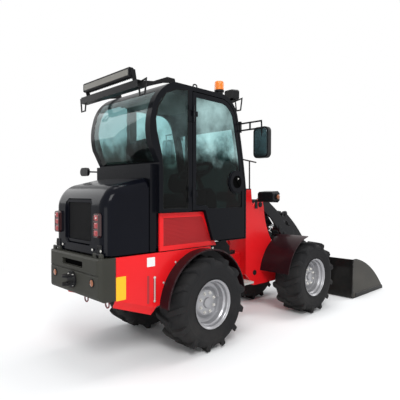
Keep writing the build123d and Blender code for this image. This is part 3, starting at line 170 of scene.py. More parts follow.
# Chassis and axles: welded plate in satin black enamel, dusty low down. A wear group
# gives every finish its bare edges, settled dust and slow drift of colour.
def make_wear_group():
    """Node group: an edge mask from a bevelled normal, a dust mask from upward faces and
    low height broken by noise, a mottle value from soft noise and a fine grain."""
    group = bpy.data.node_groups.new("wear", "ShaderNodeTree")
    for name, value in (("Edge Width", 0.006), ("Dust Height", 0.7), ("Grain Scale", 60.0)):
        socket = group.interface.new_socket(name, in_out="INPUT", socket_type="NodeSocketFloat")
        socket.default_value = value
    for name in ("Edge", "Dust", "Mottle", "Grain"):
        group.interface.new_socket(name, in_out="OUTPUT", socket_type="NodeSocketFloat")
    new = group.nodes.new
    link = group.links.new
    source = new("NodeGroupInput")
    sink = new("NodeGroupOutput")
    place = new("ShaderNodeTexCoord")
    geometry = new("ShaderNodeNewGeometry")

    def noise(scale, detail, rough=0.6):
        node = new("ShaderNodeTexNoise")
        link(place.outputs["Object"], node.inputs["Vector"])
        if isinstance(scale, float):
            node.inputs["Scale"].default_value = scale
        else:
            link(scale, node.inputs["Scale"])
        node.inputs["Detail"].default_value = detail
        node.inputs["Roughness"].default_value = rough
        return node.outputs["Fac"]

    bevel = new("ShaderNodeBevel")
    bevel.samples = 4
    link(source.outputs["Edge Width"], bevel.inputs["Radius"])
    dot = new("ShaderNodeVectorMath")
    dot.operation = "DOT_PRODUCT"
    link(bevel.outputs["Normal"], dot.inputs[0])
    link(geometry.outputs["True Normal"], dot.inputs[1])
    bend = add_math(group, "SUBTRACT", 1.0, dot.outputs["Value"], clamp=True)
    chips = add_math(group, "SUBTRACT", noise(34.0, 6.0, 0.7), 0.46)
    chips = add_math(group, "MULTIPLY", chips, 9.0, clamp=True)
    bare = add_math(group, "MULTIPLY", bend, 5.0, clamp=True)
    link(add_math(group, "MULTIPLY", bare, chips), sink.inputs["Edge"])

    facing = new("ShaderNodeSeparateXYZ")
    link(geometry.outputs["Normal"], facing.inputs[0])
    height = new("ShaderNodeSeparateXYZ")
    link(place.outputs["Object"], height.inputs[0])
    upward = add_math(group, "MULTIPLY", facing.outputs["Z"], 0.5, clamp=True)
    depth = add_math(group, "SUBTRACT", source.outputs["Dust Height"], height.outputs["Z"])
    low = add_math(group, "DIVIDE", depth, source.outputs["Dust Height"], clamp=True)
    cloud = add_math(group, "SUBTRACT", noise(3.2, 7.0, 0.65), 0.38)
    cloud = add_math(group, "MULTIPLY", cloud, 3.2, clamp=True)
    settled = add_math(group, "ADD", upward, add_math(group, "MULTIPLY", low, 0.9))
    link(add_math(group, "MULTIPLY", settled, cloud, clamp=True), sink.inputs["Dust"])
    link(noise(1.7, 3.0), sink.inputs["Mottle"])
    link(noise(source.outputs["Grain Scale"], 3.0), sink.inputs["Grain"])
    return group


wear_group = make_wear_group()


def add_mix(tree, factor, first, second):
    """Colour mix of two colours or sockets by a mask, and its output."""
    node = tree.nodes.new("ShaderNodeMix")
    node.data_type = "RGBA"
    tree.links.new(factor, node.inputs["Factor"])
    for socket, value in ((node.inputs[6], first), (node.inputs[7], second)):
        if isinstance(value, tuple):
            socket.default_value = (*value, 1)
        else:
            tree.links.new(value, socket)
    return node.outputs[2]


GRAIN_ROUGHNESS, DUST_ROUGHNESS = 0.16, 0.8
BUMP_DISTANCE = 0.002


def worn_finish(name, colour, roughness, metallic=0.0, coat=0.0, dust=0.25, edge=0.35,
                edge_colour=(0.35, 0.35, 0.36), dust_colour=(0.42, 0.38, 0.32), bump=0.05,
                grain=60.0, drift=0.12, specular=0.5, above=None):
    """Finish with drifting colour, dust and worn edges. The first values are the clean
    surface, dust and edge say how much of each mask shows, and above is a height with the
    colour that starts there."""
    material, shader = shader_material(name)
    tree = material.node_tree
    wear = tree.nodes.new("ShaderNodeGroup")
    wear.node_tree = wear_group
    wear.inputs["Grain Scale"].default_value = grain
    darker = tuple(c * (1 - drift) for c in colour)
    lighter = tuple(min(1.0, c * (1 + drift) + 0.003) for c in colour)
    body = add_mix(tree, wear.outputs["Mottle"], darker, lighter)
    if above:
        place = tree.nodes.new("ShaderNodeTexCoord")
        height = tree.nodes.new("ShaderNodeSeparateXYZ")
        tree.links.new(place.outputs["Object"], height.inputs[0])
        body = add_mix(tree, add_math(tree, "GREATER_THAN", height.outputs["Z"], above[0]), body, above[1])
    dust_mask = add_math(tree, "MULTIPLY", wear.outputs["Dust"], dust, clamp=True)
    edge_mask = add_math(tree, "MULTIPLY", wear.outputs["Edge"], edge, clamp=True)
    worn = add_mix(tree, edge_mask, add_mix(tree, dust_mask, body, dust_colour), edge_colour)
    tree.links.new(worn, shader.inputs["Base Color"])
    grained = add_math(tree, "MULTIPLY_ADD", wear.outputs["Grain"], GRAIN_ROUGHNESS,
                       roughness - GRAIN_ROUGHNESS / 2)
    dulled = add_math(tree, "MULTIPLY_ADD", dust_mask, DUST_ROUGHNESS, grained, clamp=True)
    tree.links.new(dulled, shader.inputs["Roughness"])
    relief = tree.nodes.new("ShaderNodeBump")
    relief.inputs["Strength"].default_value = bump
    relief.inputs["Distance"].default_value = BUMP_DISTANCE
    tree.links.new(wear.outputs["Grain"], relief.inputs["Height"])
    tree.links.new(relief.outputs["Normal"], shader.inputs["Normal"])
    shader.inputs["Metallic"].default_value = metallic
    shader.inputs["Coat Weight"].default_value = coat
    shader.inputs["Coat Roughness"].default_value = 0.08
    shader.inputs["Specular IOR Level"].default_value = specular
    return material


def finish_nodes(material, *names):
    """Gives CAD nodes one material in place of any they have."""
    for name in names:
        nodes[name].data.materials.clear()
        nodes[name].data.materials.append(material)


chassis_black = worn_finish("chassis_black", (0.009, 0.009, 0.010), 0.5, dust=0.08, edge=0.2,
                            specular=0.08)
moulded_black = worn_finish("moulded_black", (0.010, 0.010, 0.011), 0.5, dust=0.05, edge=0.0,
                            bump=0.2, grain=300, specular=0.08)
finish_nodes(chassis_black, "tow_hitch")
TAIL_BELLY_Z = 0.575
CHASSIS_TAIL_X, BATTERY_TAIL_X = -0.60, -0.40


def swept_copy(node, name, material, tail_x):
    """Copy of a chassis piece whose lowest corners aft of a place are swept up."""
    mesh = nodes[node].data.copy()
    shell = bmesh.new()
    shell.from_mesh(mesh)
    bmesh.ops.remove_doubles(shell, verts=shell.verts, dist=1e-5)
    for corner in shell.verts:
        if corner.co.x < rear_axle_x + tail_x and corner.co.z < TAIL_BELLY_Z:
            corner.co.z = TAIL_BELLY_Z
    bmesh.ops.recalc_face_normals(shell, faces=shell.faces)
    shell.to_mesh(mesh)
    shell.free()
    mesh.materials.clear()
    mesh.materials.append(material)
    piece = bpy.data.objects.new(name, mesh)
    bpy.context.scene.collection.objects.link(piece)
    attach(piece, "rear")
    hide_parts(node)


swept_copy("rear_frame", "swept_chassis", chassis_black, CHASSIS_TAIL_X)
swept_copy("battery", "battery_box", moulded_black, BATTERY_TAIL_X)


# Rear body sides: folded sheet in glossy red, with a moulded groove, a level gauge behind a slot,
# and small blank plates in yellow and white. The groove and the slot are drawn as flat plates in a
# darker red, which is painted shade.
SIGNAL_RED = (0.76, 0.008, 0.012)
TOWER_TOP_Z = 1.388
enamel = dict(coat=0.12, dust=0.05, edge=0.15, edge_colour=(0.45, 0.12, 0.1), drift=0.05, specular=0.2)
red_paint = worn_finish("red_paint", SIGNAL_RED, 0.34, **enamel)
# the bar on top of the front frame's red tower is black
front_red = worn_finish("front_red", SIGNAL_RED, 0.34, above=(TOWER_TOP_Z, (0.008, 0.008, 0.009)), **enamel)
red_shadow = worn_finish("red_shadow", (0.36, 0.012, 0.016), 0.45, dust=0.1, edge=0.0, drift=0.1)
finish_nodes(red_paint, "side_panels")
finish_nodes(front_red, "front_frame")
yellow_plate = worn_finish("yellow_plate", (0.84, 0.47, 0.0), 0.4, dust=0.08, edge=0.1, drift=0.04)
white_plate = worn_finish("white_plate", (0.78, 0.78, 0.76), 0.4, dust=0.12, edge=0.1, drift=0.04)
zinc_bolt = worn_finish("zinc_bolt", (0.62, 0.61, 0.58), 0.35, metallic=0.7, dust=0.15, edge=0.0)


def grid_quads(rows, cols, close_rows=False, close_cols=False):
    """Faces between neighbours of a grid of rows by cols points, closed round if asked."""
    row = np.arange(rows if close_rows else rows - 1)[:, None]
    col = np.arange(cols if close_cols else cols - 1)[None, :]
    next_row, next_col = (row + 1) % rows, (col + 1) % cols
    ring = [row * cols + col, row * cols + next_col, next_row * cols + next_col, next_row * cols + col]
    return np.stack([np.broadcast_to(r, ring[0].shape).ravel() for r in ring], axis=1).tolist()


def capped_tube(rows, cols):
    """Faces of a grid closed round its rows, with a flat end on its first and last row."""
    ends = [list(range(cols)), list(range((rows - 1) * cols, rows * cols))]
    return grid_quads(rows, cols, close_cols=True) + ends


def make_piece(name, shapes, material, body, sharp=35):
    """One mesh of closed shapes, each its points and faces, smooth but for edges sharper
    than the given degrees, riding on a body."""
    points, faces, start = [], [], 0
    for shape_points, shape_faces in shapes:
        points.append(np.asarray(shape_points, dtype=float).reshape(-1, 3))
        faces.extend([[index + start for index in face] for face in shape_faces])
        start += len(points[-1])
    mesh = bpy.data.meshes.new(name)
    mesh.from_pydata(np.concatenate(points).tolist(), [], faces)
    shell = bmesh.new()
    shell.from_mesh(mesh)
    bmesh.ops.recalc_face_normals(shell, faces=shell.faces)
    shell.to_mesh(mesh)
    shell.free()
    mesh.polygons.foreach_set("use_smooth", np.ones(len(mesh.polygons), dtype=bool))
    mesh.set_sharp_from_angle(angle=math.radians(sharp))
    mesh.materials.append(material)
    piece = bpy.data.objects.new(name, mesh)
    bpy.context.scene.collection.objects.link(piece)
    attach(piece, body)
    return piece


def rounded_loop(width, height, radius, steps=6):
    """Outline of a rectangle whose corners are quarter circles, counted anticlockwise."""
    turn = np.linspace(0, math.pi / 2, steps)
    arc = np.stack([np.cos(turn), np.sin(turn)], axis=1) * radius
    loops = []
    for quarter, (side, top) in enumerate(((1, 1), (-1, 1), (-1, -1), (1, -1))):
        spin = quarter * math.pi / 2
        rotate = np.array([[math.cos(spin), math.sin(spin)], [-math.sin(spin), math.cos(spin)]])
        loops.append(arc @ rotate + (side * (width / 2 - radius), top * (height / 2 - radius)))
    return np.concatenate(loops)


def plate(loop, centre, u, v, depth, bevel=0.0):
    """Plate with a flat outline: the loop carried along u x v by depth, its front edge
    drawn in towards the middle by bevel."""
    loop, centre, u, v = (np.asarray(value, dtype=float) for value in (loop, centre, u, v))
    out = np.cross(u, v)
    middle = loop.mean(axis=0)
    reach = np.abs(loop - middle).max(axis=0)
    inner = middle + (loop - middle) * (1 - bevel / np.maximum(reach, 1e-6))
    layers = [(loop, 0.0), (loop, depth - bevel)] + ([(inner, depth)] if bevel else [])
    points = [centre + flat[:, :1] * u + flat[:, 1:] * v + out * lift for flat, lift in layers]
    return np.concatenate(points), capped_tube(len(layers), len(loop))


POLE_RADIUS = 1e-4


def turned_shape(profile, centre, axis, sides=24):
    """Surface of revolution: the profile's radius and height carried round an axis. Its
    ends lie on the axis and close on a tiny circle there, or, when neither does, the last
    point joins the first in a ring."""
    profile, axis = np.asarray(profile, dtype=float), np.asarray(axis, dtype=float)
    axis = axis / np.linalg.norm(axis)
    side_way = np.cross(axis, (0, 0, 1) if abs(axis[2]) < 0.9 else (1, 0, 0))
    side_way /= np.linalg.norm(side_way)
    other_way = np.cross(axis, side_way)
    turn = np.arange(sides) * 2 * math.pi / sides
    ring = np.cos(turn)[:, None] * side_way + np.sin(turn)[:, None] * other_way
    points = centre + profile[:, None, :1] * ring[None] + profile[:, None, 1:] * axis
    if profile[0, 0] > 1e-6 and profile[-1, 0] > 1e-6:
        return points.reshape(-1, 3), grid_quads(len(profile), sides, True, True)
    points[0] += ring * POLE_RADIUS
    points[-1] += ring * POLE_RADIUS
    return points.reshape(-1, 3), capped_tube(len(profile), sides)


def bolt(place, way, radius=0.009, height=0.006, sides=6):
    """Hexagon bolt head with a turned washer face, standing on its seat."""
    washer = turned_shape([(0, 0), (radius * 1.45, 0), (radius * 1.45, height * 0.25), (0, height * 0.25)],
                          place, way, 16)
    head = turned_shape([(0, height * 0.2), (radius, height * 0.2), (radius, height * 0.85),
                         (radius * 0.85, height), (0, height)], place, way, sides)
    return [washer, head]


def at(x, y, z):
    """Point at x from the rear axle, in metres."""
    return np.array([rear_axle_x + x, y, z])


LEFT, RIGHT, UP = (0, 1, 0), (0, -1, 0), (0, 0, 1)
SIDES = ((-1, "right"), (1, "left"))
body_y = -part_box("side_panels")[0][1]
GLUE = 0.0002
GAUGE_X, GAUGE_Z, GAUGE_CAPS_Z = -0.514, 0.585, (0.492, 0.678)
GAUGE_RADIUS, GAUGE_HALF = 0.0045, 0.085
side_plates = (
    # name, finish, middle in x and z, width and height
    ("yellow_plate", yellow_plate, (-0.826, 0.640), (0.086, 0.176)),
    ("white_plate", white_plate, (-0.549, 0.806), (0.078, 0.072)),
)
for side, side_name in SIDES:
    ahead = np.array((-side * 1.0, 0, 0))
    face_y = side * (body_y + GLUE)
    for plate_name, finish, (x, z), (width, height) in side_plates:
        shape = plate(rounded_loop(width, height, 0.004), at(x, face_y, z), ahead, UP, 0.0008)
        make_piece(f"{plate_name}_{side_name}", [shape], finish, "rear")
    # the groove and the gauge slot are flat plates in red_shadow, a darker red that is painted shade
    groove = plate(rounded_loop(0.022, 0.222, 0.009), at(-0.577, face_y, 0.590), ahead, UP, 0.001)
    make_piece(f"groove_shade_plate_{side_name}", [groove], red_shadow, "rear")
    slot_ring = plate(rounded_loop(0.026, 0.200, 0.012), at(GAUGE_X, face_y, GAUGE_Z), ahead, UP,
                      0.002, 0.001)
    tube_shape = turned_shape([(0, -GAUGE_HALF), (GAUGE_RADIUS, -GAUGE_HALF), (GAUGE_RADIUS, GAUGE_HALF),
                               (0, GAUGE_HALF)], at(GAUGE_X, face_y + side * 0.004, GAUGE_Z), UP, 12)
    caps = [part for z in GAUGE_CAPS_Z
            for part in bolt(at(GAUGE_X, face_y + side * 0.002, z), (0, side, 0), 0.008)]
    make_piece(f"gauge_slot_{side_name}", [slot_ring], red_shadow, "rear")
    make_piece(f"gauge_tube_{side_name}", [tube_shape] + caps, zinc_bolt, "rear")


# Rear fenders: rolled sheet in dark maroon enamel, bolted to the body sides, with a
# stiffening bead along the outer edge.
maroon_black = worn_finish("maroon_black", (0.016, 0.003, 0.005), 0.3, coat=0.12, dust=0.03, edge=0.12,
                           specular=0.08)
finish_nodes(maroon_black, "rear_flares", "front_fenders")
WHEEL_CENTRE_Z = 0.400
FLARE_RADIUS = 0.465
FLARE_BOLT_CIRCLE = FLARE_RADIUS + 0.012
FLARE_BOLT_ANGLES = (152, 128, 72, 48, 24)


def ring_tube(centre, radius, start, end, tube, y, count=40, sides=8):
    """Bead bent to a circle in the side plane: a small ring carried along an arc."""
    turn = np.radians(np.linspace(start, end, count))[:, None]
    around = np.arange(sides) * 2 * math.pi / sides
    reach = radius + tube * np.cos(around)
    points = np.stack(np.broadcast_arrays(centre[0] + reach * np.cos(turn), y + tube * np.sin(around),
                                          centre[2] + reach * np.sin(turn)), axis=-1)
    return points.reshape(-1, 3), capped_tube(count, sides)


flare_bolts = []
for side, side_name in SIDES:
    lip_y = side * (-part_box("rear_flares")[0][1] - 0.005)
    bead = ring_tube(at(0, 0, WHEEL_CENTRE_Z), FLARE_RADIUS - 0.001, 5, 175, 0.005, lip_y)
    make_piece(f"flare_bead_{side_name}", [bead], maroon_black, "rear")
    for turn in np.radians(FLARE_BOLT_ANGLES):
        seat = at(FLARE_BOLT_CIRCLE * math.cos(turn), side * body_y,
                  WHEEL_CENTRE_Z + FLARE_BOLT_CIRCLE * math.sin(turn))
        flare_bolts += bolt(seat, (0, side, 0), 0.007, 0.005)
make_piece("flare_bolts", flare_bolts, zinc_bolt, "rear")


# Counterweight: a rough iron casting in olive-grey primer, with round amber reflectors, a
# bolted tow coupling and two bent lashing rings in red under its edge.
casting_olive = worn_finish("casting_olive", (0.034, 0.034, 0.028), 0.62, dust=0.05, edge=0.2,
                            bump=0.2, grain=140, specular=0.15)
# a dead black without reflection: in the tail slot and behind the hood and vent meshes it is painted shade,
# and the door latch takes it too
shade_and_matte_black = worn_finish("shade_and_matte_black", (0.002, 0.002, 0.002), 0.9, dust=0.0, edge=0.0, specular=0.0)
lens_orange = worn_finish("lens_orange", (0.26, 0.075, 0.02), 0.25, coat=0.25, dust=0.05, edge=0.0)
ring_red = worn_finish("ring_red", (0.13, 0.012, 0.02), 0.4, dust=0.1, edge=0.1)
finish_nodes(casting_olive, "counterweight")
tail_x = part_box("counterweight")[0][0]
back = np.array((-1.0, 0, 0))


def tube_path(points, radius, across, bend=0.02, sides=10, steps=6):
    """Bent bar: a circle carried along straight runs joined by parabolic bends. across is
    the direction that the bends lie square to."""
    points = np.asarray(points, dtype=float)
    path = [points[:1]]
    for before, corner, after in zip(points[:-2], points[1:-1], points[2:]):
        back_way, on_way = before - corner, after - corner
        trim = min(bend, np.linalg.norm(back_way) / 2, np.linalg.norm(on_way) / 2)
        start = corner + back_way / np.linalg.norm(back_way) * trim
        end = corner + on_way / np.linalg.norm(on_way) * trim
        t = np.linspace(0, 1, steps)[:, None]
        path.append((1 - t) ** 2 * start + 2 * t * (1 - t) * corner + t**2 * end)
    path.append(points[-1:])
    path = np.concatenate(path)
    way = np.gradient(path, axis=0)
    way /= np.linalg.norm(way, axis=1, keepdims=True)
    side_way = np.cross(way, across)
    side_way /= np.linalg.norm(side_way, axis=1, keepdims=True)
    other_way = np.cross(way, side_way)
    turn = np.arange(sides) * 2 * math.pi / sides
    ring = np.cos(turn)[:, None] * side_way[:, None] + np.sin(turn)[:, None] * other_way[:, None]
    return (path[:, None] + ring * radius).reshape(-1, 3), capped_tube(len(path), sides)


reflector_seats = [(tail_x + 0.0045, y, 0.690) for y in (-0.300, 0.300)]
reflectors = [turned_shape([(0, 0), (0.026, 0), (0.027, 0.004), (0.022, 0.007), (0, 0.009)], seat, back, 28)
              for seat in reflector_seats]
make_piece("tail_reflectors", reflectors, lens_orange, "rear")
reflector_rims = [turned_shape([(0.026, 0), (0.032, 0), (0.032, 0.006), (0.026, 0.006)], seat, back, 28)
                  for seat in reflector_seats]
make_piece("reflector_rims", reflector_rims, moulded_black, "rear")
tow_low, tow_high = (Vector(corner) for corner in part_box("tow_hitch"))
flange_x, tow_z = tow_high.x - 0.014, (tow_low.z + tow_high.z) / 2
TOW_BOLT_CIRCLE = 0.050
tow_bolts = []
for turn in np.radians((45, 135, 225, 315)):
    seat = (flange_x, TOW_BOLT_CIRCLE * math.cos(turn), tow_z + TOW_BOLT_CIRCLE * math.sin(turn))
    tow_bolts += bolt(seat, back, 0.008, 0.009)
make_piece("tow_bolts", tow_bolts, zinc_bolt, "rear")
# each ring's y and x, then its bar's course in y and z
ring_places = [(-0.10, tail_x + 0.07), (-0.37, tail_x + 0.09)]
RING_BAR = ((-0.022, 0.562), (-0.026, 0.520), (0, 0.502), (0.026, 0.520), (0.022, 0.562))
lashing_rings = [tube_path([(x, y + across, z) for across, z in RING_BAR], 0.0055, (1, 0, 0), 0.02)
                 for y, x in ring_places]
make_piece("lashing_rings", lashing_rings, ring_red, "rear")
# a black sheet set into the tail slot is painted shade
slot_shade_sheet = plate(rounded_loop(0.326, 0.046, 0.005), (tail_x + 0.0305, 0, 0.806), RIGHT, UP, 0.001)
make_piece("tail_slot_shade", [slot_shade_sheet], shade_and_matte_black, "rear")


# Tyres: lugged rubber on a rounded casing. The lugs stand in two leaning rows, half a
# pitch apart, and run down over the shoulder.
rubber = worn_finish("rubber", (0.014, 0.014, 0.015), 0.72, dust=0.22, edge=0.2, bump=0.25, grain=240,
                     dust_colour=(0.12, 0.11, 0.10), edge_colour=(0.06, 0.06, 0.06), specular=0.1)
LUGS_PER_SIDE = 13
LUG_LEAN = math.radians(9.5)
TYRE_HALF_WIDTH = 0.160
# casing radius and half width, then the same point on a lug's top
TYRE_SECTION = np.array([
    (0.3760, 0.000, 0.3998, 0.000), (0.3760, 0.010, 0.3998, 0.010), (0.3755, 0.050, 0.3998, 0.050),
    (0.3740, 0.090, 0.3995, 0.090), (0.3700, 0.120, 0.3990, 0.122), (0.3640, 0.136, 0.3975, 0.146),
    (0.3560, 0.147, 0.3925, 0.157), (0.3460, 0.153, 0.3760, 0.1597), (0.3360, 0.156, 0.3520, 0.1599),
    (0.3260, 0.158, 0.3300, 0.1596), (0.3180, 0.158, 0.3180, 0.158), (0.3130, 0.159, 0.3130, 0.159),
    (0.3090, 0.159, 0.3090, 0.159), (0.3060, 0.1575, 0.3060, 0.1575), (0.2900, 0.1575, 0.2900, 0.1575),
    (0.2700, 0.155, 0.2700, 0.155), (0.2500, 0.150, 0.2500, 0.150), (0.2360, 0.1465, 0.2360, 0.1465),
    (0.2300, 0.1475, 0.2300, 0.1475), (0.2240, 0.1455, 0.2240, 0.1455), (0.2135, 0.1412, 0.2135, 0.1412),
    (0.2070, 0.1392, 0.2070, 0.1392), (0.1990, 0.1385, 0.1990, 0.1385),
])
# angle within one pitch and how far the lug has risen there, for one row
LUG_RISE = np.array([(-0.9, 0.0), (-0.2, 0.85), (0.5, 1.0), (3.3, 1.0), (6.1, 1.0), (6.8, 0.85), (7.5, 0.0)])


def tyre_shape(centre):
    """Tyre: a section carried round the axle. Each point lies between the casing and the
    lug's top by the lug's rise at its angle, and the angle leans with the distance from
    the middle."""
    pitch = 360 / LUGS_PER_SIDE
    steps = np.concatenate([LUG_RISE[:, 0], LUG_RISE[:, 0] + pitch / 2, [9.6, 11.3, 23.4, 25.1]])
    steps = np.sort(steps % pitch)
    angles = (np.arange(LUGS_PER_SIDE)[:, None] * pitch + steps[None, :]).ravel()
    near = lambda shift: np.interp((angles + 2 - shift) % pitch - 2, LUG_RISE[:, 0], LUG_RISE[:, 1], 0, 0)
    rise_left, rise_right = near(0), near(pitch / 2)
    mirrored = TYRE_SECTION[:0:-1] * (1, -1, 1, -1)
    section = np.concatenate([mirrored, TYRE_SECTION])
    side = np.sign(section[:, 1])
    rise = np.where(side[:, None] > 0, rise_left, np.where(side[:, None] < 0, rise_right,
                                                          np.maximum(rise_left, rise_right)))
    radius = section[:, None, 0] + rise * (section[:, None, 2] - section[:, None, 0])
    y = section[:, None, 1] + rise * (section[:, None, 3] - section[:, None, 1])
    lean = LUG_LEAN * (1 - (np.abs(y) / TYRE_HALF_WIDTH) ** 1.15)
    turn = np.radians(angles)[None, :] + lean
    points = np.stack([centre[0] + radius * np.sin(turn), centre[1] + y, centre[2] - radius * np.cos(turn)],
                      axis=-1)
    return points.reshape(-1, 3), grid_quads(len(section), len(angles), True, True)


# Rims: pressed steel in silver, a deep drop-centre barrel with a dished disc, eight wheel
# nuts and a hub cap.
rim_silver = worn_finish("rim_silver", (0.36, 0.36, 0.375), 0.32, metallic=0.65, dust=0.10, edge=0.1,
                         drift=0.05)
WHEEL_NUTS, NUT_CIRCLE = 8, 0.086
# radius and distance outwards, from the hub cap over the barrel and back
RIM_PROFILE = (
    (0.0000, 0.0860), (0.0360, 0.0860), (0.0430, 0.0820), (0.0470, 0.0695), (0.1040, 0.0680),
    (0.1120, 0.0640), (0.1280, 0.0480), (0.1340, 0.0445), (0.1620, 0.0445), (0.1700, 0.0480),
    (0.1735, 0.0560), (0.1745, 0.0900), (0.1775, 0.0970), (0.1860, 0.1020), (0.1890, 0.1080),
    (0.1900, 0.1280), (0.1930, 0.1360), (0.1990, 0.1400), (0.2050, 0.1420), (0.2080, 0.1450),
    (0.2090, 0.1485), (0.2100, 0.1488), (0.2100, 0.1440), (0.2060, 0.1408), (0.1970, 0.1395),
    (0.1955, 0.1340), (0.1955, -0.1340), (0.1970, -0.1395), (0.2060, -0.1408), (0.2100, -0.1440),
    (0.2100, -0.1488), (0.2060, -0.1470), (0.1960, -0.1400), (0.1900, -0.1300), (0.1890, 0.0200),
    (0.1700, 0.0320), (0.1300, 0.0300), (0.1000, 0.0540), (0.0000, 0.0545),
)
for wheel in ("rear_left", "rear_right", "front_left", "front_right"):
    low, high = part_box(f"rim_{wheel}")
    centre = np.array([(a + b) / 2 for a, b in zip(low, high)])
    outward = 1.0 if wheel.endswith("left") else -1.0
    tyre = make_piece(f"lugged_tyre_{wheel}", [tyre_shape(centre)], rubber, f"wheel_{wheel}",
                      28)
    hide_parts(f"tyre_{wheel}")
    nuts = []
    for turn in np.radians(22.5 + 45 * np.arange(WHEEL_NUTS)):
        seat = centre + (NUT_CIRCLE * math.cos(turn), outward * 0.068, NUT_CIRCLE * math.sin(turn))
        nuts += bolt(seat, (0, outward, 0), 0.0105, 0.014)
    valve = turned_shape([(0, 0), (0.004, 0), (0.004, 0.03), (0, 0.03)],
                         centre + (0.150, outward * 0.044, 0.02), (0, outward, 0), 8)
    dish = turned_shape(RIM_PROFILE, centre, (0, outward, 0), 72)
    rim = make_piece(f"dished_rim_{wheel}", [dish, valve], rim_silver, f"wheel_{wheel}", 40)
    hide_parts(f"rim_{wheel}")
    make_piece(f"wheel_nuts_{wheel}", nuts, zinc_bolt, f"wheel_{wheel}")


# Hood: a one-piece moulding in glossy black over the batteries. Its rear opening holds a
# woven wire screen in a bolted border, over a black plate that is painted shade.
black_gloss = worn_finish("black_gloss", (0.002, 0.0025, 0.0055), 0.2, coat=0.12, dust=0.004, edge=0.0,
                          bump=0.0, specular=0.03)
screen_black = worn_finish("screen_black", (0.010, 0.010, 0.011), 0.45, dust=0.05, edge=0.0, specular=0.15)
HOOD_TAIL_X, HOOD_FRONT_X, HOOD_SILL_Z = -0.960, -0.566, 0.885
HOOD_HALF_WIDTH, HOOD_EDGE, HOOD_SHOULDER = 0.400, 0.080, 0.200
HOOD_SHOULDER_Z = 1.222
HOOD_RISE = math.radians(13)
RECESS_HALF, RECESS_LOW, RECESS_HIGH, RECESS_CUT, RECESS_FLOOR_X = 0.210, 0.955, 1.300, 0.030, -0.930


def hood_shell():
    """Hood: an upright line, a shoulder arc and a rising top, carried across and rounded
    at both sides. There a point moves in from the line by the edge radius times one minus
    a sine, and out to the side by its cosine. The rear recess is pressed to its floor."""
    rise = np.arange(HOOD_SILL_Z, HOOD_SHOULDER_Z, 0.007)
    turn = np.linspace(0, math.pi / 2 - HOOD_RISE, 48)
    arc_x = HOOD_TAIL_X + HOOD_SHOULDER * (1 - np.cos(turn))
    arc_z = HOOD_SHOULDER_Z + HOOD_SHOULDER * np.sin(turn)
    top_x = np.linspace(arc_x[-1], HOOD_FRONT_X, 8)[1:]
    top_z = arc_z[-1] + (top_x - arc_x[-1]) * math.tan(HOOD_RISE)
    line_x = np.concatenate([np.full(len(rise), HOOD_TAIL_X), arc_x, top_x])
    line_z = np.concatenate([rise, arc_z, top_z])
    facing = np.concatenate([np.zeros(len(rise)), turn, np.full(len(top_x), turn[-1])])
    normal = np.stack([-np.cos(facing), np.sin(facing)], axis=1)
    bend = np.linspace(0, math.pi / 2, 10)
    flat_half = HOOD_HALF_WIDTH - HOOD_EDGE
    flat = np.linspace(-flat_half, flat_half, 91)[1:-1]
    across = np.concatenate([-flat_half - HOOD_EDGE * np.cos(bend), flat,
                             flat_half + HOOD_EDGE * np.cos(bend[::-1])])
    sunk = np.concatenate([1 - np.sin(bend), np.zeros(len(flat)), 1 - np.sin(bend[::-1])]) * HOOD_EDGE
    x = line_x[:, None] - normal[:, :1] * sunk
    z = line_z[:, None] - normal[:, 1:] * sunk
    y = across[None, :] + 0 * x
    x = np.minimum(x, HOOD_FRONT_X)
    z = np.maximum(z, HOOD_SILL_Z)
    side_in, end_in = RECESS_HALF - np.abs(y), np.minimum(z - RECESS_LOW, RECESS_HIGH - z)
    pressed = (side_in > 0) & (end_in > 0) & (side_in + end_in > RECESS_CUT) & (x < RECESS_FLOOR_X)
    x = np.where(pressed, RECESS_FLOOR_X, x)
    points = np.stack([x + rear_axle_x, y, z], axis=-1)
    rows, cols = x.shape
    corners = [at(HOOD_FRONT_X, side * HOOD_HALF_WIDTH, HOOD_SILL_Z) for side in (-1, 1)]
    faces = grid_quads(rows, cols)
    for corner, column in ((0, 0), (1, cols - 1)):
        faces.append([row * cols + column for row in range(rows)] + [rows * cols + corner])
    return np.concatenate([points.reshape(-1, 3), corners]), faces


hood = make_piece("hood_shell", [hood_shell()], black_gloss, "hood", 30)
for cheek in hood.data.polygons[-2:]:
    cheek.use_smooth = False
hood_wall = hood.modifiers.new("wall", "SOLIDIFY")
hood_wall.thickness = 0.006
hood_wall.offset = -1
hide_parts("hood")
HOOD_HINGE_X, HOOD_HINGE_Y, HOOD_HINGE_Z = -0.973, 0.330, 0.898
hinge_parts = []
for side in (-1, 1):
    hinge_parts.append(turned_shape([(0, -0.032), (0.009, -0.032), (0.009, 0.032), (0, 0.032)],
                                    at(HOOD_HINGE_X, side * HOOD_HINGE_Y, HOOD_HINGE_Z), LEFT, 20))
    hinge_parts.append(plate(rounded_loop(0.060, 0.070, 0.006),
                             at(HOOD_TAIL_X + 0.001, side * HOOD_HINGE_Y, 0.930), RIGHT, UP, 0.008, 0.002))
    for offset in (-0.016, 0.016):
        hinge_parts += bolt(at(HOOD_TAIL_X - 0.007, side * HOOD_HINGE_Y + offset, 0.942), back, 0.006, 0.005)
make_piece("hood_hinges", hinge_parts, chassis_black, "hood")
panel_low, panel_high = (Vector(corner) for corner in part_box("rear_grille"))


BAR_FACES = [[0, 1, 2, 3], [4, 5, 6, 7], [0, 1, 5, 4], [1, 2, 6, 5], [2, 3, 7, 6], [3, 0, 4, 7]]


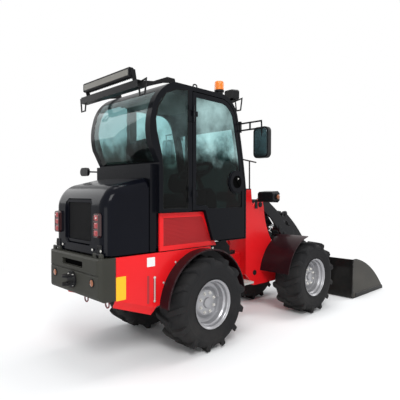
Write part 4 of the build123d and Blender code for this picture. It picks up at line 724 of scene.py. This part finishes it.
def wire_screen(low, high, pitch, half, depth):
    """Wires crossing at a pitch inside a rectangle that faces the tail, each a thin square
    bar. low and high are its corners across and up, and depth is its place in x."""
    corner = np.array([(-1, -1, -1), (1, -1, -1), (1, 1, -1), (-1, 1, -1),
                       (-1, -1, 1), (1, -1, 1), (1, 1, 1), (-1, 1, 1)], dtype=float)
    shapes = []
    for way in (0, 1):
        count = int((high[way] - low[way]) / pitch)
        for number in range(1, count):
            centre, size = np.zeros(3), np.full(3, half)
            centre[way] = low[way] + number * (high[way] - low[way]) / count
            centre[1 - way] = (low[1 - way] + high[1 - way]) / 2
            size[1 - way] = (high[1 - way] - low[1 - way]) / 2
            centre[2] = depth + (half if way else 0)
            shapes.append(((centre + corner * size)[:, [2, 0, 1]], BAR_FACES))
    return shapes


def border(outer, inner, centre, u, v, depth):
    """Flat ring between two outlines with as many points each, of the given depth."""
    outer, inner, centre, u, v = (np.asarray(value, dtype=float) for value in (outer, inner, centre, u, v))
    out = np.cross(u, v) * depth
    layers = [centre + flat[:, :1] * u + flat[:, 1:] * v + lift
              for flat, lift in ((outer, 0), (outer, out), (inner, out), (inner, 0))]
    return np.concatenate(layers), grid_quads(4, len(outer), True, True)


panel_width, panel_height = panel_high.y - panel_low.y, panel_high.z - panel_low.z
panel_middle = (panel_high.x, 0, (panel_low.z + panel_high.z) / 2)
SCREEN_BORDER, SCREEN_INSET = 0.044, 0.02
rim_outer = rounded_loop(panel_width, panel_height, 0.030)
rim_inner = rounded_loop(panel_width - SCREEN_BORDER, panel_height - SCREEN_BORDER, 0.016)
# the dead black plate behind the screen is painted shade
backing = plate(rounded_loop(panel_width - 0.03, panel_height - 0.03, 0.02), panel_middle, RIGHT, UP, 0.002)
screen_frame = make_piece("screen_frame", [border(rim_outer, rim_inner, panel_middle, RIGHT, UP, 0.016)],
                          black_gloss, "hood")
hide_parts("rear_grille")
make_piece("screen_shade_plate", [backing], shade_and_matte_black, "hood")
screen = wire_screen((-panel_width / 2 + SCREEN_INSET, panel_low.z + SCREEN_INSET),
                     (panel_width / 2 - SCREEN_INSET, panel_high.z - SCREEN_INSET),
                     0.0085, 0.0009, panel_high.x - 0.006)
make_piece("wire_screen", screen, screen_black, "hood")
hood_bolts = []
for y in (-0.36, -0.24, 0.24, 0.36):
    hood_bolts += bolt((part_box("hood")[0][0] + 0.0135, y, 0.925), back, 0.007, 0.005)
make_piece("hood_bolts", hood_bolts, zinc_bolt, "hood")


# Tail lamps: three ribbed red lenses in a black housing, clipped to the hood's corners.
lens_red = worn_finish("lens_red", (0.30, 0.008, 0.012), 0.18, coat=0.3, dust=0.03, edge=0.0)
lens_clear = worn_finish("lens_clear", (0.62, 0.60, 0.58), 0.15, coat=0.5, dust=0.05, edge=0.0)
lamp_housing = worn_finish("lamp_housing", (0.030, 0.006, 0.007), 0.3, coat=0.3, dust=0.05, edge=0.0)
finish_nodes(lamp_housing, "tail_lamps")
lamp_low = Vector(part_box("tail_lamps")[0])


def sheet_faces(rows, cols):
    """Faces of a thin closed sheet: a grid in front, the same grid behind it and a rim."""
    count = rows * cols
    faces = grid_quads(rows, cols)
    faces += [[count + i for i in face[::-1]] for face in faces]
    index = np.arange(count).reshape(rows, cols)
    edge = np.concatenate([index[0, :-1], index[:-1, -1], index[-1, :0:-1], index[:0:-1, 0]]).tolist()
    return faces + [[a, b, b + count, a + count] for a, b in zip(edge, edge[1:] + edge[:1])]


def bulged_lens(width, height, centre, u, v, rise, rows=14, cols=25, ribs=5, rib=0.0006):
    """Moulded lens on a grid: it rises by a cosine crown, fluted across its width, and
    closes at its rim on a flat back."""
    s = np.linspace(-1, 1, cols)[None, :]
    t = np.linspace(-1, 1, rows)[:, None]
    crown = rise * np.cos(s * math.pi / 2) ** 0.5 * np.cos(t * math.pi / 2) ** 0.5
    crown = crown + rib * np.cos(s * math.pi * ribs) * (np.abs(s) < 0.95) * (np.abs(t) < 0.95)
    crown = np.maximum(crown, 0)[..., None]
    centre, u, v = (np.asarray(value, dtype=float) for value in (centre, u, v))
    out = np.cross(u, v)
    front = centre + (s * width / 2)[..., None] * u + (t * height / 2)[..., None] * v + crown * out
    behind = front - (crown + 0.002) * out
    return np.concatenate([front.reshape(-1, 3), behind.reshape(-1, 3)]), sheet_faces(rows, cols)


LENS_WIDTH, LENS_HEIGHT, LENS_RISE, LENS_PITCH = 0.056, 0.044, 0.007, 0.056
LAMP_Y, LAMP_MIDDLE_Z = 0.318, 1.110
for cell_name, rows, slot_name in (("stop_lenses", (-1, 1), "red_lens"), ("turn_lenses", (0,), "amber_lens")):
    shapes = [bulged_lens(LENS_WIDTH, LENS_HEIGHT,
                          (lamp_low.x + 0.0045, side * LAMP_Y, LAMP_MIDDLE_Z + row * LENS_PITCH),
                          RIGHT, UP, LENS_RISE) for side in (-1, 1) for row in rows]
    make_piece(cell_name, shapes, lens_red, "hood")
# a pale dome on each upper lens is a painted glint of light
painted_glints = [turned_shape([(0, 0), (0.007, 0), (0.006, 0.003), (0, 0.004)],
                       (lamp_low.x - 0.0025, side * (LAMP_Y + 0.012), LAMP_MIDDLE_Z + LENS_PITCH), back, 14)
          for side in (-1, 1)]
make_piece("lamp_painted_glints", painted_glints, lens_clear, "hood")


# Cab: a welded frame in near-black enamel with tinted, bonded glass, whose panes carry a painted
# sky reflection. Rubber seals run round the quarter glasses, and a ribbed lining lies under the roof.
cab_black = worn_finish("cab_black", (0.003, 0.0035, 0.0055), 0.3, coat=0.12, dust=0.004, edge=0.03,
                        specular=0.03)
seal_black = worn_finish("seal_black", (0.005, 0.005, 0.005), 0.7, dust=0.02, edge=0.0, bump=0.1, grain=200,
                         specular=0.1)
finish_nodes(cab_black, "cab_frame", "door_left", "door_right")
finish_nodes(moulded_black, "cab_roof", "console")


def tinted_glass_painted_sky(name, top_tint_painted_light, low_tint_painted_dark, painted_horizon, blend, painted_sky_sheen):
    """Clear tinted pane with a painted reflection: the tint drifts from dark low down, painted trees,
    to light above, painted sky, its edge broken by noise. A painted sky sheen glows from the pane as
    emission, stronger upwards and broken by painted clouds."""
    material, shader = shader_material(name)
    tree = material.node_tree
    place = tree.nodes.new("ShaderNodeTexCoord")
    height = tree.nodes.new("ShaderNodeSeparateXYZ")
    tree.links.new(place.outputs["Object"], height.inputs[0])
    noise = tree.nodes.new("ShaderNodeTexNoise")
    noise.inputs["Scale"].default_value = 5.0
    noise.inputs["Detail"].default_value = 5.0
    tree.links.new(place.outputs["Object"], noise.inputs["Vector"])
    lifted = add_math(tree, "MULTIPLY_ADD", noise.outputs["Fac"], 0.55, height.outputs["Z"])
    ramp = tree.nodes.new("ShaderNodeMapRange")
    ramp.interpolation_type = "SMOOTHSTEP"
    ramp.inputs["From Min"].default_value = painted_horizon + 0.27 - blend
    ramp.inputs["From Max"].default_value = painted_horizon + 0.27 + blend
    tree.links.new(lifted, ramp.inputs["Value"])
    tint = add_mix(tree, ramp.outputs["Result"], low_tint_painted_dark, top_tint_painted_light)
    tree.links.new(tint, shader.inputs["Base Color"])
    painted_haze = add_mix(tree, ramp.outputs["Result"], (0.0, 0.0, 0.0), (0.30, 0.42, 0.42))
    painted_clouds = add_math(tree, "MULTIPLY_ADD", noise.outputs["Fac"], 2.0, -0.45, clamp=True)
    tree.links.new(add_mix(tree, painted_clouds, (0.0, 0.0, 0.0), painted_haze), shader.inputs["Emission Color"])
    shader.inputs["Emission Strength"].default_value = painted_sky_sheen
    smear = tree.nodes.new("ShaderNodeTexNoise")
    smear.inputs["Scale"].default_value = 9.0
    tree.links.new(place.outputs["Object"], smear.inputs["Vector"])
    smeared = add_math(tree, "MULTIPLY", smear.outputs["Fac"], 0.05)
    tree.links.new(smeared, shader.inputs["Roughness"])
    shader.inputs["Transmission Weight"].default_value = 1.0
    shader.inputs["IOR"].default_value = 1.2
    return material


# the tint's dark lower band is a painted reflection of trees, and the emission sheen is a painted sky
# reflection, strongest on the door glass
pane_glass = tinted_glass_painted_sky("pane_glass", (0.38, 0.54, 0.55), (0.07, 0.11, 0.10), 1.74, 0.12, 0.12)
door_pane_glass = tinted_glass_painted_sky("door_pane_glass", (0.44, 0.60, 0.60), (0.05, 0.08, 0.08), 1.72, 0.12, 0.75)
finish_nodes(pane_glass, "windscreen", "rear_glass", "quarter_glasses")
finish_nodes(door_pane_glass, "door_glass_left", "door_glass_right")

# the quarter glass's outline in x from the rear axle and z
quarter_corners = np.array([
    (-0.528, 1.840), (-0.478, 1.660), (-0.462, 1.540), (-0.462, 1.222), (-0.190, 1.222),
    (-0.190, 2.210), (-0.321, 2.198), (-0.430, 2.150), (-0.510, 2.030), (-0.536, 1.930),
])
SEAL_RADIUS, QUARTER_GLASS_Y = 0.007, 0.4435


def seal(corners, radius, y):
    """Rubber bead along a closed outline of x and z: a round section carried along it."""
    closed = np.vstack([corners, corners[:1]])
    share = np.linspace(0, 1, 6)[:-1, None]
    path = np.concatenate([start + (end - start) * share for start, end in zip(closed[:-1], closed[1:])])
    way = np.roll(path, -1, axis=0) - np.roll(path, 1, axis=0)
    way /= np.linalg.norm(way, axis=1, keepdims=True)
    turn = np.arange(8) * math.pi / 4
    flat = np.stack([-way[:, 1], way[:, 0]], axis=1)[:, None] * (radius * np.cos(turn))[None, :, None]
    points = np.concatenate([path[:, None] + flat, np.zeros((len(path), 8, 1))], axis=2)
    points = points[..., [0, 2, 1]]
    points[..., 1] = y + radius * np.sin(turn)[None, :]
    points[..., 0] += rear_axle_x
    return points.reshape(-1, 3), grid_quads(len(path), 8, True, True)


glass_seals = [seal(quarter_corners, SEAL_RADIUS, side * QUARTER_GLASS_Y) for side in (-1, 1)]
make_piece("quarter_seals", glass_seals, seal_black, "rear")

trim_olive = worn_finish("trim_olive", (0.050, 0.045, 0.030), 0.7, dust=0.03, edge=0.0, bump=0.02)


def ribbed_lining(low, high, z, ribs, depth):
    """Roof lining: a sheet whose height follows a cosine wave across its length."""
    x = np.linspace(low[0], high[0], ribs * 6 + 1)[:, None]
    y = np.linspace(low[1], high[1], 9)[None, :]
    share = (x - low[0]) / (high[0] - low[0])
    wave = z - depth * (0.5 - 0.5 * np.cos(share * ribs * 2 * math.pi)) + 0 * y
    lower = np.stack(np.broadcast_arrays(x, y, wave), axis=-1).reshape(-1, 3)
    return np.concatenate([lower, lower + (0, 0, 0.006)]), sheet_faces(*wave.shape)


lining = ribbed_lining(at(-0.42, -0.38, 0), at(0.36, 0.38, 0), 2.176, 16, 0.012)
make_piece("roof_lining", [lining], trim_olive, "rear")
# a lifting eye's bar in x and z
EYE_BAR = ((-0.093, 2.247), (-0.093, 2.286), (-0.049, 2.286), (-0.049, 2.247))
eyes = [tube_path([at(x, side * 0.400, z) for x, z in EYE_BAR], 0.006, LEFT, 0.02) for side in (-1, 1)]
make_piece("lifting_eyes", eyes, chassis_black, "rear")


# Doors: a pressed frame round the glass, with a shallow round cup for the latch, a grip bent
# across it and a lock beside it.
LATCH_X, LATCH_Z = 0.425, 1.455
for side, side_name in SIDES:
    latch_at = at(LATCH_X, side * 0.4502, LATCH_Z)
    cup = turned_shape([(0, 0), (0.058, 0), (0.056, 0.002), (0.040, 0.0005), (0, 0.0005)], latch_at,
                       (0, side, 0), 40)
    grip = tube_path([latch_at + (-0.034, 0, 0.036), latch_at + (-0.030, side * 0.012, 0.030),
                      latch_at + (0.030, side * 0.012, -0.030), latch_at + (0.034, 0, -0.036)],
                     0.0055, (0, 1, 0.01), 0.006)
    make_piece(f"latch_{side_name}", [cup, grip], shade_and_matte_black, f"door_{side_name}")
    lock = bolt(at(LATCH_X + 0.02, side * 0.4505, LATCH_Z + 0.03), (0, side, 0), 0.005, 0.003, 16)
    make_piece(f"lock_{side_name}", lock, zinc_bolt, f"door_{side_name}")


# Seat: foam cushions in woven cloth on a sprung bellows base. The cushions are inflated as
# cloth from slightly smaller blanks, then stitched across.
def woven_cloth():
    """Charcoal cloth: two crossed waves of threads in bump, and soft mottling in colour."""
    material, shader = shader_material("seat_cloth")
    tree = material.node_tree
    place = tree.nodes.new("ShaderNodeTexCoord")
    threads = []
    for way in ("X", "Y"):
        wave = tree.nodes.new("ShaderNodeTexWave")
        wave.bands_direction = way
        wave.inputs["Scale"].default_value = 160.0
        wave.inputs["Distortion"].default_value = 1.5
        tree.links.new(place.outputs["Object"], wave.inputs["Vector"])
        threads.append(wave.outputs["Fac"])
    weave = add_math(tree, "MULTIPLY", *threads)
    cloud = tree.nodes.new("ShaderNodeTexNoise")
    cloud.inputs["Scale"].default_value = 14.0
    cloud.inputs["Detail"].default_value = 6.0
    tree.links.new(place.outputs["Object"], cloud.inputs["Vector"])
    tint = add_math(tree, "MULTIPLY_ADD", weave, 0.5, cloud.outputs["Fac"], clamp=True)
    cloth_colour = add_mix(tree, tint, (0.010, 0.010, 0.012), (0.055, 0.055, 0.060))
    tree.links.new(cloth_colour, shader.inputs["Base Color"])
    relief = tree.nodes.new("ShaderNodeBump")
    relief.inputs["Strength"].default_value = 0.4
    relief.inputs["Distance"].default_value = 0.0015
    tree.links.new(weave, relief.inputs["Height"])
    tree.links.new(relief.outputs["Normal"], shader.inputs["Normal"])
    dullness = add_math(tree, "MULTIPLY_ADD", cloud.outputs["Fac"], 0.2, 0.72)
    tree.links.new(dullness, shader.inputs["Roughness"])
    return material


seat_cloth = woven_cloth()
PAD_FRAMES, PAD_CAP, PAD_VOXEL = 20, 0.024, 0.006
PAD_ROWS, PAD_COLS = 41, 80
SEAM_DEPTH, SEAM_HALF = 0.008, 0.006


def evaluated_mesh(obj):
    """Mesh of an object with its modifiers worked out."""
    graph = bpy.context.evaluated_depsgraph_get()
    return bpy.data.meshes.new_from_object(obj.evaluated_get(graph), depsgraph=graph)


def mesh_points(mesh):
    """Vertex places as an array."""
    flat = np.empty(len(mesh.vertices) * 3)
    mesh.vertices.foreach_get("co", flat)
    return flat.reshape(-1, 3)


def cushion(name, centre, half, lean, floor_drop, seams):
    """Foam cushion: a superellipsoid of the fifth power, blown up as cloth by at most the
    cap, flat underneath, with stitched grooves sunk by a bell curve across it."""
    power = 5
    lift = np.linspace(-math.pi / 2, math.pi / 2, PAD_ROWS)[:, None]
    turn = (np.arange(PAD_COLS) * 2 * math.pi / PAD_COLS)[None, :]
    raised = lambda wave: np.sign(wave) * np.abs(wave) ** (2 / power)
    body_points = np.stack(np.broadcast_arrays(raised(np.cos(lift)) * raised(np.cos(turn)),
                                               raised(np.cos(lift)) * raised(np.sin(turn)),
                                               raised(np.sin(lift)) + 0 * turn), axis=-1) * half
    blank_mesh = bpy.data.meshes.new(name)
    pad_faces = grid_quads(PAD_ROWS, PAD_COLS, close_cols=True)
    blank_mesh.from_pydata(body_points.reshape(-1, 3).tolist(), [], pad_faces)
    pad = bpy.data.objects.new(name, blank_mesh)
    bpy.context.scene.collection.objects.link(pad)
    remesh = pad.modifiers.new("remesh", "REMESH")
    remesh.mode = "VOXEL"
    remesh.voxel_size = PAD_VOXEL
    pad.data = evaluated_mesh(pad)
    pad.modifiers.clear()
    blank = mesh_points(pad.data)
    blown = blank
    cloth = pad.modifiers.new("cloth", "CLOTH")
    cloth.settings.quality = 4
    cloth.settings.use_pressure = True
    cloth.settings.uniform_pressure_force = 4.0
    cloth.settings.effector_weights.gravity = 0.0
    for number in range(1, PAD_FRAMES + 1):
        bpy.context.scene.frame_set(number)
    blown = mesh_points(evaluated_mesh(pad))
    pad.modifiers.clear()
    bpy.context.scene.frame_set(1)
    shift = blown - blank
    far = np.linalg.norm(shift, axis=1, keepdims=True)
    points = blank + shift * np.minimum(1, PAD_CAP / np.maximum(far, 1e-9))
    points[:, 2] = np.maximum(points[:, 2], -floor_drop)
    for axis, level in seams:
        groove = SEAM_DEPTH * np.exp(-(((points[:, axis] - level) / SEAM_HALF) ** 2))
        points[:, 2] -= groove * (points[:, 2] > 0)
    sin, cos = math.sin(lean), math.cos(lean)
    turned_x = points[:, 0] * cos + points[:, 2] * sin
    turned_z = -points[:, 0] * sin + points[:, 2] * cos
    points = np.stack([turned_x, points[:, 1], turned_z], axis=1) + centre
    pad.data.vertices.foreach_set("co", points.ravel())
    pad.data.polygons.foreach_set("use_smooth", np.ones(len(pad.data.polygons), dtype=bool))
    pad.data.materials.clear()
    pad.data.materials.append(seat_cloth)
    finer = pad.modifiers.new("finer", "SUBSURF")
    finer.levels = finer.render_levels = 1
    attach(pad, "rear")
    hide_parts("seat")


cushion("seat_cushion", at(-0.12, 0, 1.286), (0.208, 0.208, 0.036), 0.0, 0.052,
        ((1, -0.13), (1, 0.13), (0, -0.02)))
cushion("seat_back", at(-0.352, 0, 1.585), (0.255, 0.200, 0.022), math.radians(-96.5) + math.pi, 0.038,
        ((1, -0.13), (1, 0.13), (0, 0.10)))


def stacked(loops):
    """Closed body of outlines of equal count stacked at their heights."""
    points = [np.column_stack([flat + middle, np.full(len(flat), z)]) for flat, middle, z in loops]
    return np.concatenate(points), capped_tube(len(loops), len(loops[0][0]))


base_middle = np.array([rear_axle_x - 0.15, 0])
bellows = [(rounded_loop(0.36 - 0.03 * (step % 2), 0.33 - 0.03 * (step % 2), 0.04), base_middle,
            0.985 + step * 0.018) for step in range(12)]
seat_base = make_piece("seat_bellows", [stacked(bellows)], seal_black, "rear")
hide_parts("seat")
rails = [(rounded_loop(0.40, 0.36, 0.02), base_middle, z) for z in (0.960, 0.985)]
pan = [(rounded_loop(width, depth, 0.05), np.array([rear_axle_x - 0.13, 0]), z)
       for width, depth, z in ((0.38, 0.34, 1.183), (0.43, 0.42, 1.215), (0.44, 0.43, 1.236))]
seat_rails = make_piece("seat_rails", [stacked(rails), stacked(pan)], moulded_black, "rear")
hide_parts("seat")


# Light bar and beacon: a ribbed strip lens over a black housing on the roof rack, and an
# amber fluted dome on a turned black base.
lens_taupe = worn_finish("lens_taupe", (0.15, 0.143, 0.125), 0.35, coat=0.2, dust=0.1, edge=0.0, drift=0.06)
amber_dome = worn_finish("amber_dome", (0.80, 0.19, 0.006), 0.2, coat=0.2, dust=0.0, edge=0.0, drift=0.08)
finish_nodes(chassis_black, "light_bar")
bar_back_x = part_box("light_bar")[0][0]


def fluted_strip(width, height, corner, depth, flutes):
    """Strip lens: its face follows a cosine wave across a long run, with its rim drawn
    back to a flat rear."""
    s = np.linspace(0, 1, flutes * 6 + 1)[None, :]
    t = np.array([0, 0.04, 0.5, 0.96, 1.0])[:, None]
    wave = 0.75 + 0.25 * np.cos(s * flutes * 2 * math.pi)
    rise = depth * np.where((t > 0.01) & (t < 0.99), 1.0, 0.1) * wave
    y, z = np.broadcast_arrays(corner[1] + s * width, corner[2] + t * height)
    front = np.stack([corner[0] - rise, y, z], axis=-1)
    behind = np.stack([np.full_like(rise, corner[0] + 0.001), y, z], axis=-1)
    return np.concatenate([front.reshape(-1, 3), behind.reshape(-1, 3)]), sheet_faces(*rise.shape)


strip = fluted_strip(0.680, 0.050, (bar_back_x + 0.0048, -0.340, 2.250), 0.0042, 60)
make_piece("bar_lens", [strip], lens_taupe, "rear")
beacon_low, beacon_high = (np.array(corner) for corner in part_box("beacon"))
beacon_at = (beacon_low + beacon_high) / 2
beacon_at[2] = 0
DOME_FOOT_Z, DOME_TOP_Z, DOME_RADIUS, DOME_CROWN = 2.282, 2.362, 0.043, 0.013
DOME_FLUTES, FLUTE_SHARE = 24, 0.02
dome_profile = [(0, DOME_FOOT_Z), (DOME_RADIUS, DOME_FOOT_Z), (DOME_RADIUS, 2.325)]
dome_profile += [(0.030 + DOME_CROWN * math.cos(a), 2.335 + 0.027 * math.sin(a))
                 for a in np.linspace(0, math.pi / 2, 10)] + [(0, DOME_TOP_Z)]
dome_points, dome_faces = turned_shape(dome_profile, beacon_at, UP, 96)
flat = dome_points - beacon_at
spin = np.arctan2(flat[:, 1], flat[:, 0])
flat[:, :2] *= (1 - FLUTE_SHARE * (0.5 - 0.5 * np.cos(spin * DOME_FLUTES)))[:, None]
dome = make_piece("beacon_dome", [(flat + beacon_at, dome_faces)], amber_dome, "rear")
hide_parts("beacon")
foot = turned_shape([(0, 2.249), (0.034, 2.249), (0.034, 2.262), (0.044, 2.266), (0.044, 2.283), (0, 2.283)],
                    beacon_at, UP, 40)
beacon_foot = make_piece("beacon_foot", [foot], moulded_black, "rear")
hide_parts("beacon")


# Work lamps and headlamps: black shells with clear fluted lenses. The headlamps also have
# a round orange marker on the outer side.
lamp_black = worn_finish("lamp_black", (0.006, 0.006, 0.007), 0.35, coat=0.15, dust=0.02, edge=0.1,
                         specular=0.08)
finish_nodes(lamp_black, "work_lamps", "headlamps", "mirrors")
work_lenses = [bulged_lens(0.108, 0.082, at(0.534, side * 0.320, 2.303), LEFT, UP, 0.006) for side in (-1, 1)]
make_piece("work_lamp_lenses", work_lenses, lens_clear, "rear")
head_lenses = [bulged_lens(0.196, 0.100, at(1.160, side * 0.310, 1.312), LEFT, UP, 0.007) for side in (-1, 1)]
make_piece("headlamp_lenses", head_lenses, lens_clear, "front")
markers = [turned_shape([(0, 0), (0.025, 0), (0.024, 0.005), (0.016, 0.009), (0, 0.011)],
                        at(1.120, side * 0.4295, 1.312), (0, side, 0), 28) for side in (-1, 1)]
make_piece("side_markers", markers, lens_orange, "front")


# Mirrors: moulded heads on tube arms, each with a silvered glass facing the tail and a
# ribbed shell towards the machine.
# the mirror glass is dimmed to a dark blue-grey, a painted reflection of dark surroundings
mirror_painted_dark = worn_finish("mirror_painted_dark", (0.075, 0.09, 0.10), 0.12, metallic=0.9, dust=0.04, edge=0.0)
MIRROR_RIBS, RIB_PITCH = 9, 0.022
mirror_glasses, mirror_ribs = [], []
for side in (-1, 1):
    head = at(0.498, side * 0.672, 1.815)
    mirror_glasses.append(plate(rounded_loop(0.138, 0.252, 0.034), head + (0.0005, 0, 0), RIGHT, UP,
                                0.0025, 0.001))
    for level in range(MIRROR_RIBS):
        rib = np.array((0.006, side * -0.084, -0.088 + RIB_PITCH * level))
        mirror_ribs.append(tube_path([head + rib, head + rib + (0.030, 0, 0)], 0.0035, UP, 0.004, 6))
make_piece("mirror_glasses", mirror_glasses, mirror_painted_dark, "rear")
make_piece("mirror_ribs", mirror_ribs, lamp_black, "rear")


# Side vents: a folded red border round a wire mesh over the battery bay, with a black sheet
# behind it that is painted shade.
vent_maroon = worn_finish("vent_maroon", (0.46, 0.014, 0.018), 0.45, dust=0.05, edge=0.0)
# the vent's outline in x from the rear axle and z
vent_corners = np.array([(-0.464, 0.880), (0.190, 0.880), (0.060, 1.150), (0.020, 1.186), (-0.464, 1.186)])


def inset(loop, gap):
    """Outline moved inwards by a gap: each corner goes along the two edges' inward
    normals, further where the corner is sharp."""
    before, after = loop - np.roll(loop, 1, axis=0), np.roll(loop, -1, axis=0) - loop

    def inward(way):
        return np.stack([-way[:, 1], way[:, 0]], axis=1) / np.linalg.norm(way, axis=1, keepdims=True)

    first, second = inward(before), inward(after)
    lean = (first + second) / (1 + (first * second).sum(axis=1, keepdims=True))
    return loop + lean * gap


def crossing_wires(loop, pitch, half, y):
    """Square bars along both ways inside a convex outline. Each bar runs between the
    outline's two crossings at its level."""
    shapes = []
    corner = np.array([(-1, -1), (1, -1), (1, 1), (-1, 1)], dtype=float) * half
    following = np.roll(loop, -1, axis=0)
    for way in (0, 1):
        for level in np.arange(loop[:, way].min() + pitch, loop[:, way].max() - pitch / 2, pitch):
            share = (level - loop[:, way]) / np.where(following[:, way] == loop[:, way], np.inf,
                                                      following[:, way] - loop[:, way])
            hit = (share > 0) & (share <= 1)
            reach = (loop[:, 1 - way] + share * (following[:, 1 - way] - loop[:, 1 - way]))[hit]
            if len(reach) < 2:
                continue
            bar = np.zeros((2, 4, 3))
            bar[..., 0 if way == 0 else 2] = level + corner[None, :, 0]
            bar[..., 2 if way == 0 else 0] = np.array([reach.min(), reach.max()])[:, None]
            bar[..., 1] = y + (half if way else -half) + corner[None, :, 1]
            bar[..., 0] += rear_axle_x
            shapes.append((bar.reshape(-1, 3), BAR_FACES))
    return shapes


VENT_BORDER, WIRE_PITCH, WIRE_HALF = 0.040, 0.011, 0.0022
vent_frames, vent_wires, vent_backs = [], [], []
for side in (-1, 1):
    opening = inset(vent_corners, VENT_BORDER)
    vent_frames.append(border(vent_corners, opening, at(0, side * 0.393, 0), (1, 0, 0), UP, -side * 0.014))
    vent_wires += crossing_wires(inset(vent_corners, 0.036), WIRE_PITCH, WIRE_HALF, side * 0.399)
    vent_backs.append(plate(inset(vent_corners, 0.02), at(0, side * 0.392, 0), (1, 0, 0), UP, 0.002))
vent_border = make_piece("vent_borders", vent_frames, red_paint, "rear")
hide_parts("side_grilles")
make_piece("vent_mesh", vent_wires, vent_maroon, "rear")
make_piece("vent_shade_sheets", vent_backs, shade_and_matte_black, "rear")


# Steps: zinc-plated boxes with pressed studs on the tread.
zinc_plate = worn_finish("zinc_plate", (0.40, 0.40, 0.38), 0.42, metallic=0.55, dust=0.35, edge=0.3)
finish_nodes(zinc_plate, "steps")
TREAD_Z, STUD_ROWS, STUD_COLS = 0.4748, 6, 4
stud_profile = [(0, 0), (0.008, 0), (0.0065, 0.003), (0, 0.0035)]
studs = [turned_shape(stud_profile, at(0.520 + 0.032 * row, side * (0.318 + 0.030 * col), TREAD_Z), UP, 10)
         for side in (-1, 1) for row in range(STUD_ROWS) for col in range(STUD_COLS)]
make_piece("step_studs", studs, zinc_plate, "rear")


# Loader arm: welded plates in satin black. Pins have turned heads with a locking bolt,
# and the cylinders have chromed rods in screwed glands.
arm_black = worn_finish("arm_black", (0.010, 0.010, 0.012), 0.36, coat=0.06, dust=0.05, edge=0.4,
                        specular=0.08)
chrome_rod = worn_finish("chrome_rod", (0.72, 0.73, 0.74), 0.14, metallic=1.0, dust=0.05, edge=0.0,
                         drift=0.03)
finish_nodes(arm_black, "boom", "rocker", "link", "lift_barrel", "tilt_barrel")
finish_nodes(chrome_rod, "lift_rod", "tilt_rod")
pin_table = (
    # body, name, x, z, outer face, head radius, head height
    ("front", "boom_pin", 1.180, 1.222, 0.142, 0.030, 0.010),
    ("front", "lift_foot", 1.085, 0.470, 0.142, 0.028, 0.010),
    ("bucket", "bucket_pin", 2.425, 0.205, 0.144, 0.030, 0.010),
    ("boom", "rocker_pin", 1.700, 0.852, 0.112, 0.030, 0.006),
    ("boom", "lift_eye", 1.604, 0.936, 0.112, 0.030, 0.006),
    ("rocker", "lever_pin", 1.800, 1.092, 0.059, 0.026, 0.008),
    ("rocker", "tilt_eye", 1.758, 0.991, 0.059, 0.022, 0.006),
    ("link", "link_pin", 2.445, 0.404, 0.038, 0.026, 0.006),
)
for body, pin_name, x, z, face_y, radius, height in pin_table:
    profile = [(0, -0.002), (radius, -0.002), (radius, height * 0.7), (radius * 0.88, height), (0, height)]
    heads = []
    for side in (-1, 1):
        heads.append(turned_shape(profile, at(x, side * face_y, z), (0, side, 0), 28))
        heads += bolt(at(x, side * (face_y + height), z), (0, side, 0), 0.006, 0.003)
    make_piece(f"{pin_name}_heads", heads, chassis_black, body)
gland_table = (
    # name, foot, eye, bare rod, rod radius, barrel radius
    ("lift", (1.085, 0.470), (1.604, 0.936), 0.090, 0.022, 0.042),
    ("tilt", (1.262, 1.248), (1.758, 0.991), 0.180, 0.016, 0.034),
)
for gland_name, foot_at, eye_at, bare, rod, barrel in gland_table:
    foot_point, eye_point = at(foot_at[0], 0, foot_at[1]), at(eye_at[0], 0, eye_at[1])
    run = (eye_point - foot_point) / np.linalg.norm(eye_point - foot_point)
    mouth = eye_point - run * bare
    ring = [(rod + 0.001, -0.003), (barrel * 0.86, -0.003), (barrel * 0.86, 0.008), (barrel * 0.78, 0.011),
            (rod + 0.001, 0.011)]
    make_piece(f"{gland_name}_gland", [turned_shape(ring, mouth, run, 32)], zinc_bolt, f"{gland_name}_barrel")


# Bucket: rolled sheet painted black and rubbed bright at its edges, with side plates in
# olive-grey primer and wear strips along their feet.
bucket_black = worn_finish("bucket_black", (0.005, 0.005, 0.005), 0.34, coat=0.15, dust=0.04, edge=0.5,
                           edge_colour=(0.30, 0.29, 0.27), drift=0.2, specular=0.06)
bucket_olive = worn_finish("bucket_olive", (0.045, 0.042, 0.036), 0.5, dust=0.08, edge=0.5, drift=0.15,
                           specular=0.15)
finish_nodes(bucket_black, "bucket")
# outlines in x from the rear axle and z
side_sheet = np.array([(2.560, 0.014), (3.440, 0.010), (3.400, 0.075), (3.300, 0.170), (3.160, 0.280),
                       (3.020, 0.360), (2.860, 0.430), (2.700, 0.484), (2.560, 0.492), (2.540, 0.240)])
skid = np.array([(2.600, 0.010), (3.452, 0.006), (3.430, 0.052), (2.600, 0.062)])
edge_table = (
    # name, outline, distance from the middle, thickness, finish
    ("bucket_sides", side_sheet, 0.580, 0.004, bucket_olive),
    ("bucket_skids", skid, 0.584, 0.006, bucket_black),
)
for piece_name, outline, y, depth, finish in edge_table:
    shapes = [plate(outline * (-side, 1), at(0, side * y, 0), (-side, 0, 0), UP, depth, 0.002)
              for side in (-1, 1)]
    make_piece(piece_name, shapes, finish, "bucket")
